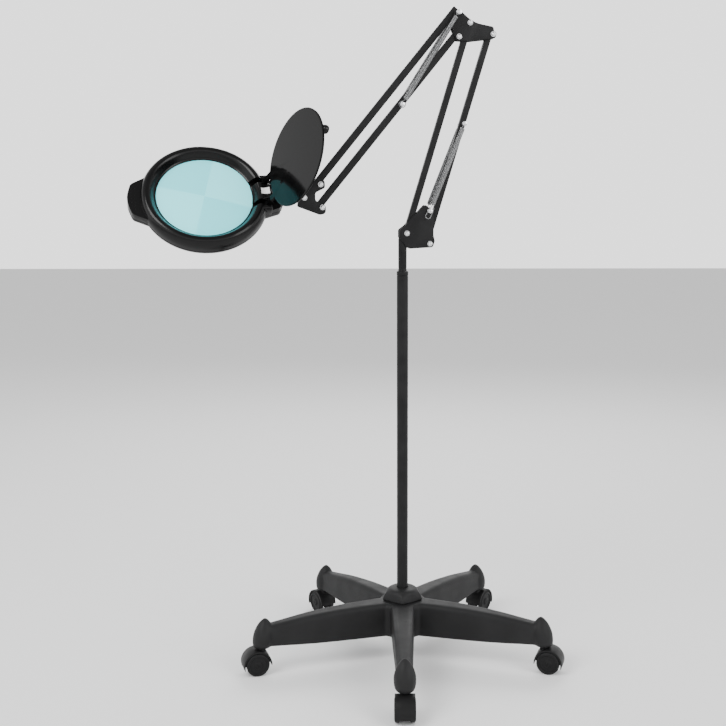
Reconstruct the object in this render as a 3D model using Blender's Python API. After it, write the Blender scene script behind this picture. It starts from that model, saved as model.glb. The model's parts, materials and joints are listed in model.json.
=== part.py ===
"""Floor-standing magnifying lamp: five-star rolling base, post, spring-balanced
parallelogram arms and a round lens head with an open hinged cover.

Metres, +Z up. The floor is z = 0 and the origin is the centre of the lamp's footprint.
Lengths in the arm's own plane are given as (s, z): s is the distance from the post's
axis along the arm, positive away from the head.
"""
import math

import bmesh
import bpy
from mathutils import Matrix, Vector

# ---- where the lamp stands -------------------------------------------------------------
POST_X = 0.0937
POST_Y = 0.0260
ARM_YAW = math.radians(9.0)
GAP = 0.0003
RING_SEGMENTS = 36

# ---- rolling base ----------------------------------------------------------------------
LEG_COUNT = 5
FRONT_LEG_ANGLE = -90.0
STEM_CIRCLE = 0.2915
AXLE_TRAIL = 0.0095
WHEEL_RADIUS = 0.0225
WHEEL_WIDTH = 0.0095
CASTER_WIDTH = 0.0386
STEM_RADIUS = 0.0050
SOCKET_BOTTOM = 0.0520
HOOD_RADIUS = 0.0275

# ---- post ------------------------------------------------------------------------------
POST_RADIUS = 0.0110
POST_TOP = 0.7708
POST_BOTTOM = 0.0760
TUBE_WALL = 0.0015
BUSH_TOP = 0.7793
SPIGOT_RADIUS = 0.00825
SPIGOT_BOTTOM = 0.7000
SPIGOT_TOP = 0.8425
HUB_TOP = 0.1180

# ---- arms, in the (s, z) plane -----------------------------------------------------------
P1 = Vector((0.0073, 0.8520))
P2 = P1 + Vector((0.0450, -0.0200))
ARM_LENGTH = 0.4130
LOWER_LEAN = math.radians(17.0)
UPPER_LEAN = math.radians(140.6)
LOWER_DIRECTION = Vector((math.sin(LOWER_LEAN), math.cos(LOWER_LEAN)))
UPPER_DIRECTION = Vector((-math.sin(UPPER_LEAN), math.cos(UPPER_LEAN)))
B = P1 + LOWER_DIRECTION * ARM_LENGTH
D = P2 + LOWER_DIRECTION * ARM_LENGTH
A = B + Vector((-0.0240, 0.0170))
C = A + Vector((0.0030, -0.0430))
U = A + UPPER_DIRECTION * ARM_LENGTH
L = C + UPPER_DIRECTION * ARM_LENGTH
T = U + Vector((-0.0310, -0.0250))

BAR_DEPTH = 0.0120
LOWER_BAR_WIDTH = 0.0120
UPPER_BAR_WIDTH = 0.0132
LOWER_BAR_OFFSET = LOWER_BAR_WIDTH / 2.0 + 0.0002
UPPER_BAR_OFFSET = UPPER_BAR_WIDTH / 2.0 + 0.0002
BAR_WALL = 0.0012
BAR_OVERRUN = 0.0058
LUG_STEP = 0.0002
PLATE_INNER = 0.0072
PLATE_OUTER = 0.0094
BOLT_RADIUS = 0.0030
BOLT_HEAD_RADIUS = 0.0048
BOLT_HEAD_HEIGHT = 0.0036
PIN_RADIUS = 0.0025
SPRING_Y = 0.0190
SPRING_RADIUS = 0.00475
SPRING_PIN_END = 0.0245
EYE_THICKNESS = 0.0024

SPRING_POST = P2 + Vector((-0.0018, 0.0625))
LOWER_PIN_ALONG = 0.2360
UPPER_PIN_ALONG = 0.1686
PIN_OFFSET = 0.0050

# ---- head --------------------------------------------------------------------------------
HEAD_PITCH = math.radians(1.95)
HEAD_ROLL = math.radians(51.5)
HEAD_REACH = 0.1863
ROLL_AXIS_HEIGHT = -0.0017
STEM_YAW = math.radians(4.7)
STEM_LIFT = 0.0060
SEAM_HEIGHT = -0.0100
LENS_RADIUS = 0.0900
NECK_END = 0.1400
STEM_ROD_RADIUS = 0.00425
HINGE_X = 0.1123
HINGE_Z = 0.0062
HINGE_PIN_RADIUS = 0.0020
HINGE_ARM_Y = 0.0250
HINGE_ARM_HALF = 0.0050
COVER_RADIUS = 0.0910
COVER_OPEN = math.radians(115.7)
COVER_LOW = 0.0047
COVER_HIGH = 0.0077
KNOB_X = 0.1350
SWITCH_X = 0.1125
ISLAND_TOP = 0.0140
ISLAND_HALF = 0.0170


# ---- general helpers -----------------------------------------------------------------------
def clear_scene():
    for item in list(bpy.data.objects):
        bpy.data.objects.remove(item, do_unlink=True)


def make_material(name, colour, roughness, metallic=0.0):
    material = bpy.data.materials.new(name)
    material.use_nodes = True
    shader = material.node_tree.nodes["Principled BSDF"]
    shader.inputs["Base Color"].default_value = (*colour, 1.0)
    shader.inputs["Roughness"].default_value = roughness
    shader.inputs["Metallic"].default_value = metallic
    return material


def make_empty(name, parent=None, matrix=None):
    empty = bpy.data.objects.new(name, None)
    bpy.context.collection.objects.link(empty)
    empty.parent = parent
    if matrix is not None:
        empty.matrix_local = matrix
    return empty


def temporary(mesh_data):
    item = bpy.data.objects.new("temporary", mesh_data)
    bpy.context.collection.objects.link(item)
    return item


def to_mesh(bm):
    bmesh.ops.recalc_face_normals(bm, faces=bm.faces[:])
    mesh_data = bpy.data.meshes.new("mesh")
    bm.to_mesh(mesh_data)
    bm.free()
    return mesh_data


def combine(first, others, operation):
    """Join the other meshes to the first, or cut them out of it."""
    target = temporary(first)
    helpers = [temporary(other) for other in others]
    for helper in helpers:
        modifier = target.modifiers.new("combine", "BOOLEAN")
        modifier.operation = operation
        modifier.solver = "EXACT"
        modifier.object = helper
    graph = bpy.context.evaluated_depsgraph_get()
    result = bpy.data.meshes.new_from_object(target.evaluated_get(graph))
    for item in (target, *helpers):
        bpy.data.objects.remove(item, do_unlink=True)
    return result


def union(first, *others):
    return combine(first, others, "UNION")


def cut(first, *others):
    return combine(first, others, "DIFFERENCE")


def place(name, mesh_data, material, parent, pivot=(0.0, 0.0, 0.0), smooth_angle=32.0):
    """Make the named node, with its origin on its pivot, from a mesh in the parent's frame."""
    mesh_data.transform(Matrix.Translation(-Vector(pivot)))
    bm = bmesh.new()
    bm.from_mesh(mesh_data)
    bmesh.ops.remove_doubles(bm, verts=bm.verts[:], dist=0.000002)
    bmesh.ops.dissolve_degenerate(bm, edges=bm.edges[:], dist=0.000002)
    bmesh.ops.triangulate(bm, faces=bm.faces[:])
    bm.to_mesh(mesh_data)
    bm.free()
    mesh_data.name = name
    mesh_data.materials.clear()
    mesh_data.materials.append(material)
    mesh_data.shade_smooth()
    mesh_data.set_sharp_from_angle(angle=math.radians(smooth_angle))
    item = bpy.data.objects.new(name, mesh_data)
    bpy.context.collection.objects.link(item)
    item.parent = parent
    item.location = pivot
    return item


# ---- shapes ----------------------------------------------------------------------------------
def loft(rings, closed=False):
    """Skin a row of point rings; the ends are capped unless the row closes on itself."""
    bm = bmesh.new()
    rows = [[bm.verts.new(point) for point in ring] for ring in rings]
    pairs = list(zip(rows, rows[1:]))
    if closed:
        pairs.append((rows[-1], rows[0]))
    count = len(rows[0])
    for low, high in pairs:
        for index in range(count):
            after = (index + 1) % count
            bm.faces.new((low[index], low[after], high[after], high[index]))
    if not closed:
        bm.faces.new(rows[0])
        bm.faces.new(rows[-1])
    return to_mesh(bm)


def circle(centre, radius, segments, start=0.0, sweep=2.0 * math.pi):
    full = abs(sweep) > 2.0 * math.pi - 0.001
    steps = segments if full else segments + 1
    points = []
    for index in range(steps):
        angle = start + sweep * index / segments
        points.append((centre[0] + radius * math.cos(angle), centre[1] + radius * math.sin(angle)))
    return points


def turned(profile, segments, hollow=False, centre=(0.0, 0.0, 0.0), axis="Z"):
    """A turned solid from (radius, height) points about the given axis.

    A hollow profile is a closed loop off the axis; a plain one runs end to end.
    """
    def spin(radius, height, angle):
        first, second = radius * math.cos(angle), radius * math.sin(angle)
        if axis == "Z":
            point = (first, second, height)
        elif axis == "Y":
            point = (first, height, second)
        else:
            point = (height, first, second)
        return Vector(point) + Vector(centre)

    angles = [2.0 * math.pi * index / segments for index in range(segments)]
    if hollow:
        return loft([[spin(radius, height, angle) for radius, height in profile] for angle in angles], True)
    return loft([[spin(radius, height, angle) for angle in angles] for radius, height in profile])


def rod(radius, low, high, segments=16, centre=(0.0, 0.0, 0.0), axis="Z"):
    return turned([(radius, low), (radius, high)], segments, False, centre, axis)


def tube(outer, inner, low, high, segments=24, centre=(0.0, 0.0, 0.0), axis="Z"):
    profile = [(inner, low), (outer, low), (outer, high), (inner, high)]
    return turned(profile, segments, True, centre, axis)


def box(low, high):
    corners = [(low[0], low[1]), (high[0], low[1]), (high[0], high[1]), (low[0], high[1])]
    return loft([[(x, y, z) for x, y in corners] for z in (low[2], high[2])])


def prism(outline, low, high, holes=(), plane="XZ"):
    """Extrude an outline with holes: along Y for plane XZ, along Z for plane XY."""
    def point(pair, height):
        if plane == "XZ":
            return (pair[0], height, pair[1])
        return (pair[0], pair[1], height)

    bm = bmesh.new()
    edges = []
    for loop in (outline, *holes):
        verts = [bm.verts.new(point(pair, low)) for pair in loop]
        edges += [bm.edges.new(pair) for pair in zip(verts, verts[1:] + verts[:1])]
    bmesh.ops.triangle_fill(bm, edges=edges, use_beauty=True, use_dissolve=False)
    bm.verts.index_update()
    base_faces = [[vert.index for vert in face.verts] for face in bm.faces]
    base_edges = [[vert.index for vert in edge.verts] for edge in edges]
    bases = list(bm.verts)
    offset = Vector(point((0.0, 0.0), high - low))
    tops = [bm.verts.new(vert.co + offset) for vert in bases]
    for face in base_faces:
        bm.faces.new([tops[index] for index in face])
    for first, second in base_edges:
        bm.faces.new((bases[first], bases[second], tops[second], tops[first]))
    return to_mesh(bm)


def rounded(corners, steps=3):
    """An outline from (x, y, radius) corners, each turned into an arc of its radius."""
    points = []
    count = len(corners)
    for index, (x, y, radius) in enumerate(corners):
        here = Vector((x, y))
        before = Vector(corners[index - 1][:2]) - here
        after = Vector(corners[(index + 1) % count][:2]) - here
        if radius <= 0.0:
            points.append((x, y))
            continue
        half = before.angle(after) / 2.0
        reach = min(radius / math.tan(half), 0.49 * before.length, 0.49 * after.length)
        true_radius = reach * math.tan(half)
        centre = here + (before.normalized() + after.normalized()).normalized() * true_radius / math.sin(half)
        first = here + before.normalized() * reach - centre
        last = here + after.normalized() * reach - centre
        sweep = first.angle_signed(last)
        for step in range(steps + 1):
            turn = Matrix.Rotation(-sweep * step / steps, 2)
            spot = centre + turn @ first
            points.append((spot.x, spot.y))
    return points


def shifted(corners, origin):
    """Move outline corners given in millimetres from an origin in metres."""
    return [(origin[0] + x * 0.001, origin[1] + z * 0.001, radius * 0.001) for x, z, radius in corners]


def box_ring(width, depth, radius, steps=3):
    half_w, half_d = width / 2.0, depth / 2.0
    return rounded([(-half_w, -half_d, radius), (half_w, -half_d, radius),
                    (half_w, half_d, radius), (-half_w, half_d, radius)], steps)


# ---- rolling base -----------------------------------------------------------------------------
def leg_angles():
    return [math.radians(FRONT_LEG_ANGLE + 360.0 / LEG_COUNT * index) for index in range(LEG_COUNT)]


def leg_mesh():
    """One leg along +X, tapering from the hub to the cap over the caster."""
    stations = [(0.010, 0.0470, 0.1176, 0.0490), (0.100, 0.0410, 0.1164, 0.0490),
                (0.190, 0.0345, 0.1095, 0.0505), (0.284, 0.0290, 0.0955, 0.0558)]
    rings = []
    for reach, width, top, bottom in stations:
        section = box_ring(width, top - bottom, 0.009, 2)
        rings.append([(reach, y, z + (top + bottom) / 2.0) for y, z in section])
    return loft(rings)


def cap_mesh():
    """The fin-shaped cap at a leg's end, which holds the caster's socket."""
    levels = [(SOCKET_BOTTOM, 0.2900, 0.0140, 0.0135), (0.0560, 0.2890, 0.0180, 0.0172),
              (0.0640, 0.2875, 0.0203, 0.0195), (0.0780, 0.2860, 0.0200, 0.0198),
              (0.0900, 0.2848, 0.0165, 0.0165), (0.0990, 0.2840, 0.0122, 0.0120),
              (0.1055, 0.2832, 0.0074, 0.0074), (0.1095, 0.2830, 0.0028, 0.0030)]
    rings = []
    for height, middle, radial, across in levels:
        points = circle((0.0, 0.0), 1.0, 12)
        rings.append([(middle + radial * x, across * y, height) for x, y in points])
    return loft(rings)


def star_base_mesh():
    hub = turned([(0.040, 0.0490), (0.046, 0.0520), (0.046, 0.1120), (0.040, HUB_TOP - 0.0002)], 20)
    pieces = []
    cutters = [rod(POST_RADIUS + GAP, POST_BOTTOM - GAP, HUB_TOP + 0.01, 16)]
    for angle in leg_angles():
        turn = Matrix.Rotation(angle, 4, "Z")
        leg = union(leg_mesh(), cap_mesh())
        leg.transform(turn)
        pieces.append(leg)
        socket = rod(STEM_RADIUS + GAP, SOCKET_BOTTOM - 0.01, 0.0890, 10, (STEM_CIRCLE, 0.0, 0.0))
        socket.transform(turn)
        cutters.append(socket)
    return cut(union(hub, *pieces), *cutters)


def hub_cover_mesh():
    """A domed collar round the post that flares to a five-sided skirt."""
    def five_sided(radius, sharpness, height, segments=20):
        ring = []
        for index in range(segments):
            angle = 2.0 * math.pi * index / segments + math.radians(FRONT_LEG_ANGLE)
            step = 2.0 * math.pi / LEG_COUNT
            away = (angle - math.radians(FRONT_LEG_ANGLE) + step / 2.0) % step - step / 2.0
            flat = math.cos(step / 2.0) / math.cos(step / 2.0 - abs(away))
            reach = radius * (1.0 - sharpness + sharpness * flat)
            ring.append((reach * math.cos(angle), reach * math.sin(angle), height))
        return ring

    bottom = HUB_TOP + GAP
    bore = POST_RADIUS + GAP
    outside = [(0.0412, 0.85, bottom), (0.0412, 0.85, 0.1205), (0.0388, 0.75, 0.1270), (0.0350, 0.45, 0.1325),
               (0.0312, 0.10, 0.1357), (0.0285, 0.0, 0.1385), (0.0235, 0.0, 0.1408), (0.0180, 0.0, 0.1416),
               (bore, 0.0, 0.1420)]
    rings = [five_sided(*level) for level in outside]
    inside = [(bore, 0.0, 0.1398), (0.0180, 0.0, 0.1394), (0.0225, 0.0, 0.1386), (0.0265, 0.0, 0.1362),
              (0.0290, 0.10, 0.1335), (0.0328, 0.45, 0.1305), (0.0366, 0.75, 0.1250), (0.0390, 0.85, 0.1200),
              (0.0390, 0.85, bottom)]
    rings += [five_sided(*level) for level in inside]
    return loft(rings, True)


def hood_mesh():
    """A caster's hood, axle and stem: +X trails, the stem's axis is X = 0, the floor Z = 0."""
    axle = (AXLE_TRAIL, WHEEL_RADIUS)
    start, end = math.radians(-20.0), math.radians(185.0)
    steps = 10
    outer, inner = [], []
    for index in range(steps + 1):
        share = index / steps
        angle = start + (end - start) * share
        taper = min(1.0, 0.30 + 5.0 * min(share, 1.0 - share))
        inner_radius = HOOD_RADIUS - 0.0036 * taper
        outer.append((axle[0] + HOOD_RADIUS * math.cos(angle), axle[1] + HOOD_RADIUS * math.sin(angle)))
        inner.append((axle[0] + inner_radius * math.cos(angle), axle[1] + inner_radius * math.sin(angle)))
    half = CASTER_WIDTH / 2.0 - 0.0010
    band = prism(outer + inner[::-1], -half, half)
    web_half = CASTER_WIDTH / 2.0 - WHEEL_WIDTH - 0.0030
    web = prism(circle(axle, HOOD_RADIUS - 0.0018, 8, math.radians(-10.0), math.radians(190.0)), -web_half, web_half)
    boss = rod(0.0060, -web_half - 0.0020, web_half + 0.0020, 10, (axle[0], 0.0, axle[1]), "Y")
    pin = rod(PIN_RADIUS, -half + 0.0008, half - 0.0008, 8, (axle[0], 0.0, axle[1]), "Y")
    collar = rod(0.0085, 0.0440, SOCKET_BOTTOM - GAP, 10)
    stem = rod(STEM_RADIUS, 0.0460, 0.0880, 10)
    return union(band, web, boss, pin, collar, stem)


def wheel_mesh(side):
    """One twin-caster wheel on its axle, the dished face outward; side is -1 or +1."""
    outer_y = CASTER_WIDTH / 2.0
    inner_y = outer_y - WHEEL_WIDTH
    bore = PIN_RADIUS + GAP
    profile = [(bore, inner_y), (0.0210, inner_y), (WHEEL_RADIUS, inner_y + 0.0015),
               (WHEEL_RADIUS, outer_y - 0.0022), (0.0200, outer_y), (bore, outer_y - 0.0010)]
    points = [(radius, side * height) for radius, height in profile]
    return turned(points, 18, True, (AXLE_TRAIL, 0.0, WHEEL_RADIUS), "Y")


def build_base(root, paint, plastic, rubber):
    place("star_base", star_base_mesh(), paint, root)
    place("hub_cover", hub_cover_mesh(), plastic, root)
    post = tube(POST_RADIUS, POST_RADIUS - TUBE_WALL, POST_BOTTOM, POST_TOP, 16)
    place("post_tube", post, paint, root)
    sleeve = POST_RADIUS - TUBE_WALL - GAP
    bore = SPIGOT_RADIUS + GAP
    bush = [(bore, 0.7300), (sleeve, 0.7300), (sleeve, POST_TOP + GAP), (0.01115, POST_TOP + GAP),
            (0.01115, BUSH_TOP - 0.0015), (0.0105, BUSH_TOP), (bore, BUSH_TOP)]
    place("post_bush", turned(bush, 16, True), plastic, root)
    for number, angle in enumerate(leg_angles(), 1):
        turn = Matrix.Translation((STEM_CIRCLE * math.cos(angle), STEM_CIRCLE * math.sin(angle), 0.0))
        frame = make_empty(f"caster_{number}_frame", root, turn @ Matrix.Rotation(angle, 4, "Z"))
        place(f"caster_{number}_hood", hood_mesh(), plastic, frame)
        for name, side in (("left", -1.0), ("right", 1.0)):
            wheel = wheel_mesh(side)
            place(f"caster_{number}_wheel_{name}", wheel, rubber, frame, (AXLE_TRAIL, 0.0, WHEEL_RADIUS))


# ---- arm fittings ---------------------------------------------------------------------------------
def hole(centre, radius=BOLT_RADIUS + GAP + 0.0002, segments=10):
    return circle(centre, radius, segments)


def plate(corners, origin, side, holes):
    """A pressed side plate on the near (-1) or far (+1) side of the arm's plane."""
    low, high = sorted((side * PLATE_INNER, side * PLATE_OUTER))
    return prism(rounded(shifted(corners, origin)), low, high, [hole(*spot) for spot in holes])


def bolt_mesh(centre, reach=PLATE_OUTER + GAP, head_radius=BOLT_HEAD_RADIUS):
    """A bolt through both plates: round head on the near side, nut on the far side."""
    x, z = centre
    head = BOLT_HEAD_HEIGHT
    profile = [(head_radius * 0.62, -reach - head), (head_radius, -reach - head * 0.45),
               (head_radius, -reach), (BOLT_RADIUS, -reach), (BOLT_RADIUS, reach), (head_radius, reach),
               (head_radius, reach + head * 0.8), (BOLT_RADIUS, reach + head)]
    return turned(profile, 10, False, (x, 0.0, z), "Y")


def pin_mesh(centre, radius=PIN_RADIUS):
    """A cross pin that carries a spring eye at each end, with a head past each eye."""
    x, z = centre
    end = SPRING_PIN_END
    profile = [(radius + 0.0012, -end), (radius + 0.0012, -end + 0.0018), (radius, -end + 0.0018),
               (radius, end - 0.0018), (radius + 0.0012, end - 0.0018), (radius + 0.0012, end)]
    return turned(profile, 8, False, (x, 0.0, z), "Y")


def stud_mesh(centre, side):
    """A short stud through one plate, from just inside it to a head past the spring's loop."""
    x, z = centre
    end = SPRING_PIN_END
    profile = [(PIN_RADIUS, PLATE_INNER + 0.0002), (PIN_RADIUS, end - 0.0018), (PIN_RADIUS + 0.0012, end - 0.0018),
               (PIN_RADIUS + 0.0012, end)]
    return turned([(radius, side * height) for radius, height in profile], 8, False, (x, 0.0, z), "Y")


def bar_mesh(start, direction, width, offset, extra_holes=()):
    """A square tube between two pivots, whose middle lies offset from the pivots' line.

    Positive offsets are to the left of the direction. Each pivot has a solid lug.
    """
    side = Vector((-direction.y, direction.x))

    def at(along, across):
        spot = start + direction * along + side * across
        return (spot.x, spot.y)

    half = width / 2.0
    low, high = -BAR_OVERRUN, ARM_LENGTH + BAR_OVERRUN
    depth = BAR_DEPTH / 2.0
    outer = [at(low, offset - half), at(high, offset - half), at(high, offset + half), at(low, offset + half)]
    inner_half = half - BAR_WALL
    reach = 0.002
    inner = [at(low - reach, offset - inner_half), at(high + reach, offset - inner_half),
             at(high + reach, offset + inner_half), at(low - reach, offset + inner_half)]
    body = prism(outer, -depth, depth)
    cutters = [prism(inner, -depth + BAR_WALL, depth - BAR_WALL)]
    lugs = []
    lug = 0.0052
    for along in (0.0, ARM_LENGTH):
        if offset:
            sign = math.copysign(1.0, offset)
            begin = math.atan2(direction.y, direction.x) + (math.pi if sign > 0.0 else 0.0)
            outline = circle(at(along, 0.0), lug, 8, begin, math.pi)
            inward = offset - sign * (half - BAR_WALL * 0.5)
            outline += [at(along + lug * sign, inward), at(along - lug * sign, inward)]
            lugs.append(prism(outline, -depth + LUG_STEP, depth - LUG_STEP))
        cutters.append(prism(hole(at(along, 0.0)), -depth - 0.002, depth + 0.002))
    for along, across, radius in extra_holes:
        cutters.append(prism(hole(at(along, across), radius), -depth - 0.002, depth + 0.002))
    if lugs:
        body = union(body, *lugs)
    return cut(body, *cutters)


def spring_mesh(start, end, slot_low, slot_high, slot_half):
    """A coil spring's outer shape, with a round eye at its start and a long loop at its end."""
    direction = end - start
    length = direction.length
    direction = direction.normalized()
    eye_outer, eye_inner = 0.0052, BOLT_RADIUS + GAP
    coil_low, coil_high = 0.0095, length - slot_high - slot_half - 0.0020
    wall = 0.0012
    eye = circle((0.0, 0.0), eye_outer, 12, math.radians(25.0), math.radians(310.0))
    eye += [(coil_low + 0.003, -0.0020), (coil_low + 0.003, 0.0020)]
    first = prism(eye, -EYE_THICKNESS / 2.0, EYE_THICKNESS / 2.0, [circle((0.0, 0.0), eye_inner, 12)])
    coil = rod(SPRING_RADIUS, coil_low, coil_high, 10, axis="X")
    loop = [(length - slot_high, slot_half), (length + slot_low, slot_half)]
    hole_low = [(length - slot_high, 0.0), (length + slot_low, 0.0)]
    outline = circle(hole_low[1], slot_half + wall, 8, -math.pi / 2.0, math.pi)
    outline += [(loop[0][0], slot_half + wall), (coil_high - 0.003, 0.0020), (coil_high - 0.003, -0.0020),
                (loop[0][0], -slot_half - wall)]
    slot = circle(hole_low[1], slot_half, 8, -math.pi / 2.0, math.pi)
    slot += circle(hole_low[0], slot_half, 8, math.pi / 2.0, math.pi)
    last = prism(outline, -EYE_THICKNESS / 2.0, EYE_THICKNESS / 2.0, [slot])
    mesh_data = union(coil, first, last)
    mesh_data.transform(plane_matrix(start, direction))
    return mesh_data


def plane_matrix(origin, direction):
    """Local X along a direction of the arm's plane, local Z in the plane, local Y across it."""
    along = Vector((direction.x, 0.0, direction.y))
    up = Vector((-direction.y, 0.0, direction.x))
    matrix = Matrix((along, up.cross(along), up)).transposed().to_4x4()
    return Matrix.Translation((origin.x, 0.0, origin.y)) @ matrix


def point3(spot, y=0.0):
    return (spot.x, y, spot.y)


# ---- swivel bracket on the post -------------------------------------------------------------------
def build_bracket(frame, paint, zinc, steel):
    round_part = rod(SPIGOT_RADIUS, SPIGOT_BOTTOM, SPIGOT_TOP, 16)
    keep = PLATE_INNER - GAP
    flats = [box((-0.02, side * keep if side > 0 else -0.02, 0.8150), (0.02, 0.02 if side > 0 else -keep, 0.90))
             for side in (-1, 1)]
    spigot = cut(round_part, *flats)
    place("swivel_spigot", spigot, steel, frame)
    corners = [(35.6, 55.0, 3.0), (52.4, 40.3, 4.0), (52.0, -4.0, 6.0), (54.6, -15.0, 5.0), (50.5, -27.0, 6.0),
               (5.0, -29.5, 4.0), (-1.0, -25.5, 4.0), (-14.6, -8.0, 6.0), (-14.6, 7.0, 5.0), (-3.0, 15.5, 25.0),
               (11.5, 33.0, 20.0), (19.0, 37.5, 5.0)]
    holes = [(P1,), (P2,), (SPRING_POST, PIN_RADIUS + GAP)]
    for name, side in (("near", -1), ("far", 1)):
        place(f"bracket_plate_{name}", plate(corners, P1, side, holes), paint, frame)
    place("bracket_bolt_front", bolt_mesh(P1), zinc, frame)
    place("bracket_bolt_rear", bolt_mesh(P2), zinc, frame)
    for name, side in (("near", -1), ("far", 1)):
        place(f"lower_spring_post_{name}", stud_mesh(SPRING_POST, side), zinc, frame)


# ---- lower arm --------------------------------------------------------------------------------------
def lower_pin():
    side = Vector((-LOWER_DIRECTION.y, LOWER_DIRECTION.x))
    return P2 + LOWER_DIRECTION * LOWER_PIN_ALONG + side * PIN_OFFSET


def build_lower_arm(frame, paint, zinc, steel):
    front = bar_mesh(P1, LOWER_DIRECTION, LOWER_BAR_WIDTH, 0.0)
    place("lower_front_bar", front, paint, frame, point3(P1))
    pin_hole = [(LOWER_PIN_ALONG, PIN_OFFSET, PIN_RADIUS + GAP)]
    rear = bar_mesh(P2, LOWER_DIRECTION, LOWER_BAR_WIDTH, LOWER_BAR_OFFSET, pin_hole)
    place("lower_rear_bar", rear, paint, frame, point3(P2))
    place("lower_spring_pin", pin_mesh(lower_pin()), zinc, frame, point3(P2))
    for name, side in (("near", -1), ("far", 1)):
        spring = spring_mesh(lower_pin(), SPRING_POST, 0.0100, 0.0045, 0.0046)
        spring.transform(Matrix.Translation((0.0, side * SPRING_Y, 0.0)))
        place(f"lower_spring_{name}", spring, steel, frame, point3(lower_pin()))


# ---- elbow ---------------------------------------------------------------------------------------------
def build_elbow(frame, paint, zinc):
    corners = [(-31.5, 21.5, 5.0), (-20.5, 23.0, 4.0), (6.0, 0.5, 60.0), (45.5, -6.4, 6.0), (46.6, -14.0, 2.0),
               (51.2, -17.0, 5.0), (50.2, -27.0, 5.0), (39.0, -28.8, 8.0), (0.0, -33.8, 20.0), (-27.0, -33.0, 6.0),
               (-34.4, -10.0, 20.0)]
    holes = [(A,), (B,), (C,), (D,)]
    for name, side in (("near", -1), ("far", 1)):
        place(f"elbow_plate_{name}", plate(corners, B, side, holes), paint, frame, point3(B))
    for name, spot in (("b", B), ("c", C), ("d", D)):
        place(f"elbow_bolt_{name}", bolt_mesh(spot), zinc, frame, point3(B))
    place("elbow_bolt_a", pin_mesh(A, BOLT_RADIUS), zinc, frame, point3(B))


# ---- upper arm -----------------------------------------------------------------------------------------
def upper_pin():
    side = Vector((UPPER_DIRECTION.y, -UPPER_DIRECTION.x))
    return C + UPPER_DIRECTION * UPPER_PIN_ALONG + side * PIN_OFFSET


def build_upper_arm(frame, paint, zinc, steel):
    top = bar_mesh(A, UPPER_DIRECTION, UPPER_BAR_WIDTH, -UPPER_BAR_OFFSET)
    place("upper_top_bar", top, paint, frame, point3(A))
    pin_hole = [(UPPER_PIN_ALONG, -PIN_OFFSET, PIN_RADIUS + GAP)]
    lower = bar_mesh(C, UPPER_DIRECTION, UPPER_BAR_WIDTH, -UPPER_BAR_OFFSET, pin_hole)
    place("upper_lower_bar", lower, paint, frame, point3(C))
    place("upper_spring_pin", pin_mesh(upper_pin()), zinc, frame, point3(C))

    span = upper_pin() - A
    length = span.length
    direction = span.normalized()
    travel = 0.0400
    coil_low, coil_high = 0.0095, length - travel - 0.0100
    for name, side in (("near", -1), ("far", 1)):
        outline = circle((0.0, 0.0), 0.0054, 12, math.radians(25.0), math.radians(310.0))
        outline += [(coil_low + 0.003, -0.0020), (coil_low + 0.003, 0.0020)]
        eye_hole = [circle((0.0, 0.0), BOLT_RADIUS + GAP, 12)]
        eye = prism(outline, -EYE_THICKNESS / 2.0, EYE_THICKNESS / 2.0, eye_hole)
        coil = rod(SPRING_RADIUS, coil_low, coil_high, 10, axis="X")
        bore = rod(0.0030, coil_low + 0.006, coil_high + 0.01, 8, axis="X")
        spring = cut(union(coil, eye), bore)
        matrix = Matrix.Translation((0.0, side * SPRING_Y, 0.0)) @ plane_matrix(A, direction)
        spring.transform(matrix)
        place(f"upper_spring_{name}", spring, steel, frame, point3(A))

        slot_half = 0.0057
        outline = circle((length, 0.0), slot_half + 0.0013, 12, math.radians(205.0), math.radians(310.0))
        outline += [(length - 0.0100, 0.0013), (length - 0.0100, -0.0013)]
        loop = prism(outline, -0.0012, 0.0012, [circle((length, 0.0), slot_half, 12)])
        shank = rod(0.0020, coil_high - 0.0180, length - 0.0066, 8, axis="X")
        hook = union(shank, loop)
        hook.transform(matrix)
        place(f"upper_spring_hook_{name}", hook, steel, frame, point3(A))


# ---- head bracket, tilt block and stem --------------------------------------------------------------------
def tilt_matrix():
    turn = Matrix.Rotation(-HEAD_PITCH, 4, "Y")
    return Matrix.Translation(point3(T)) @ turn


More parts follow.
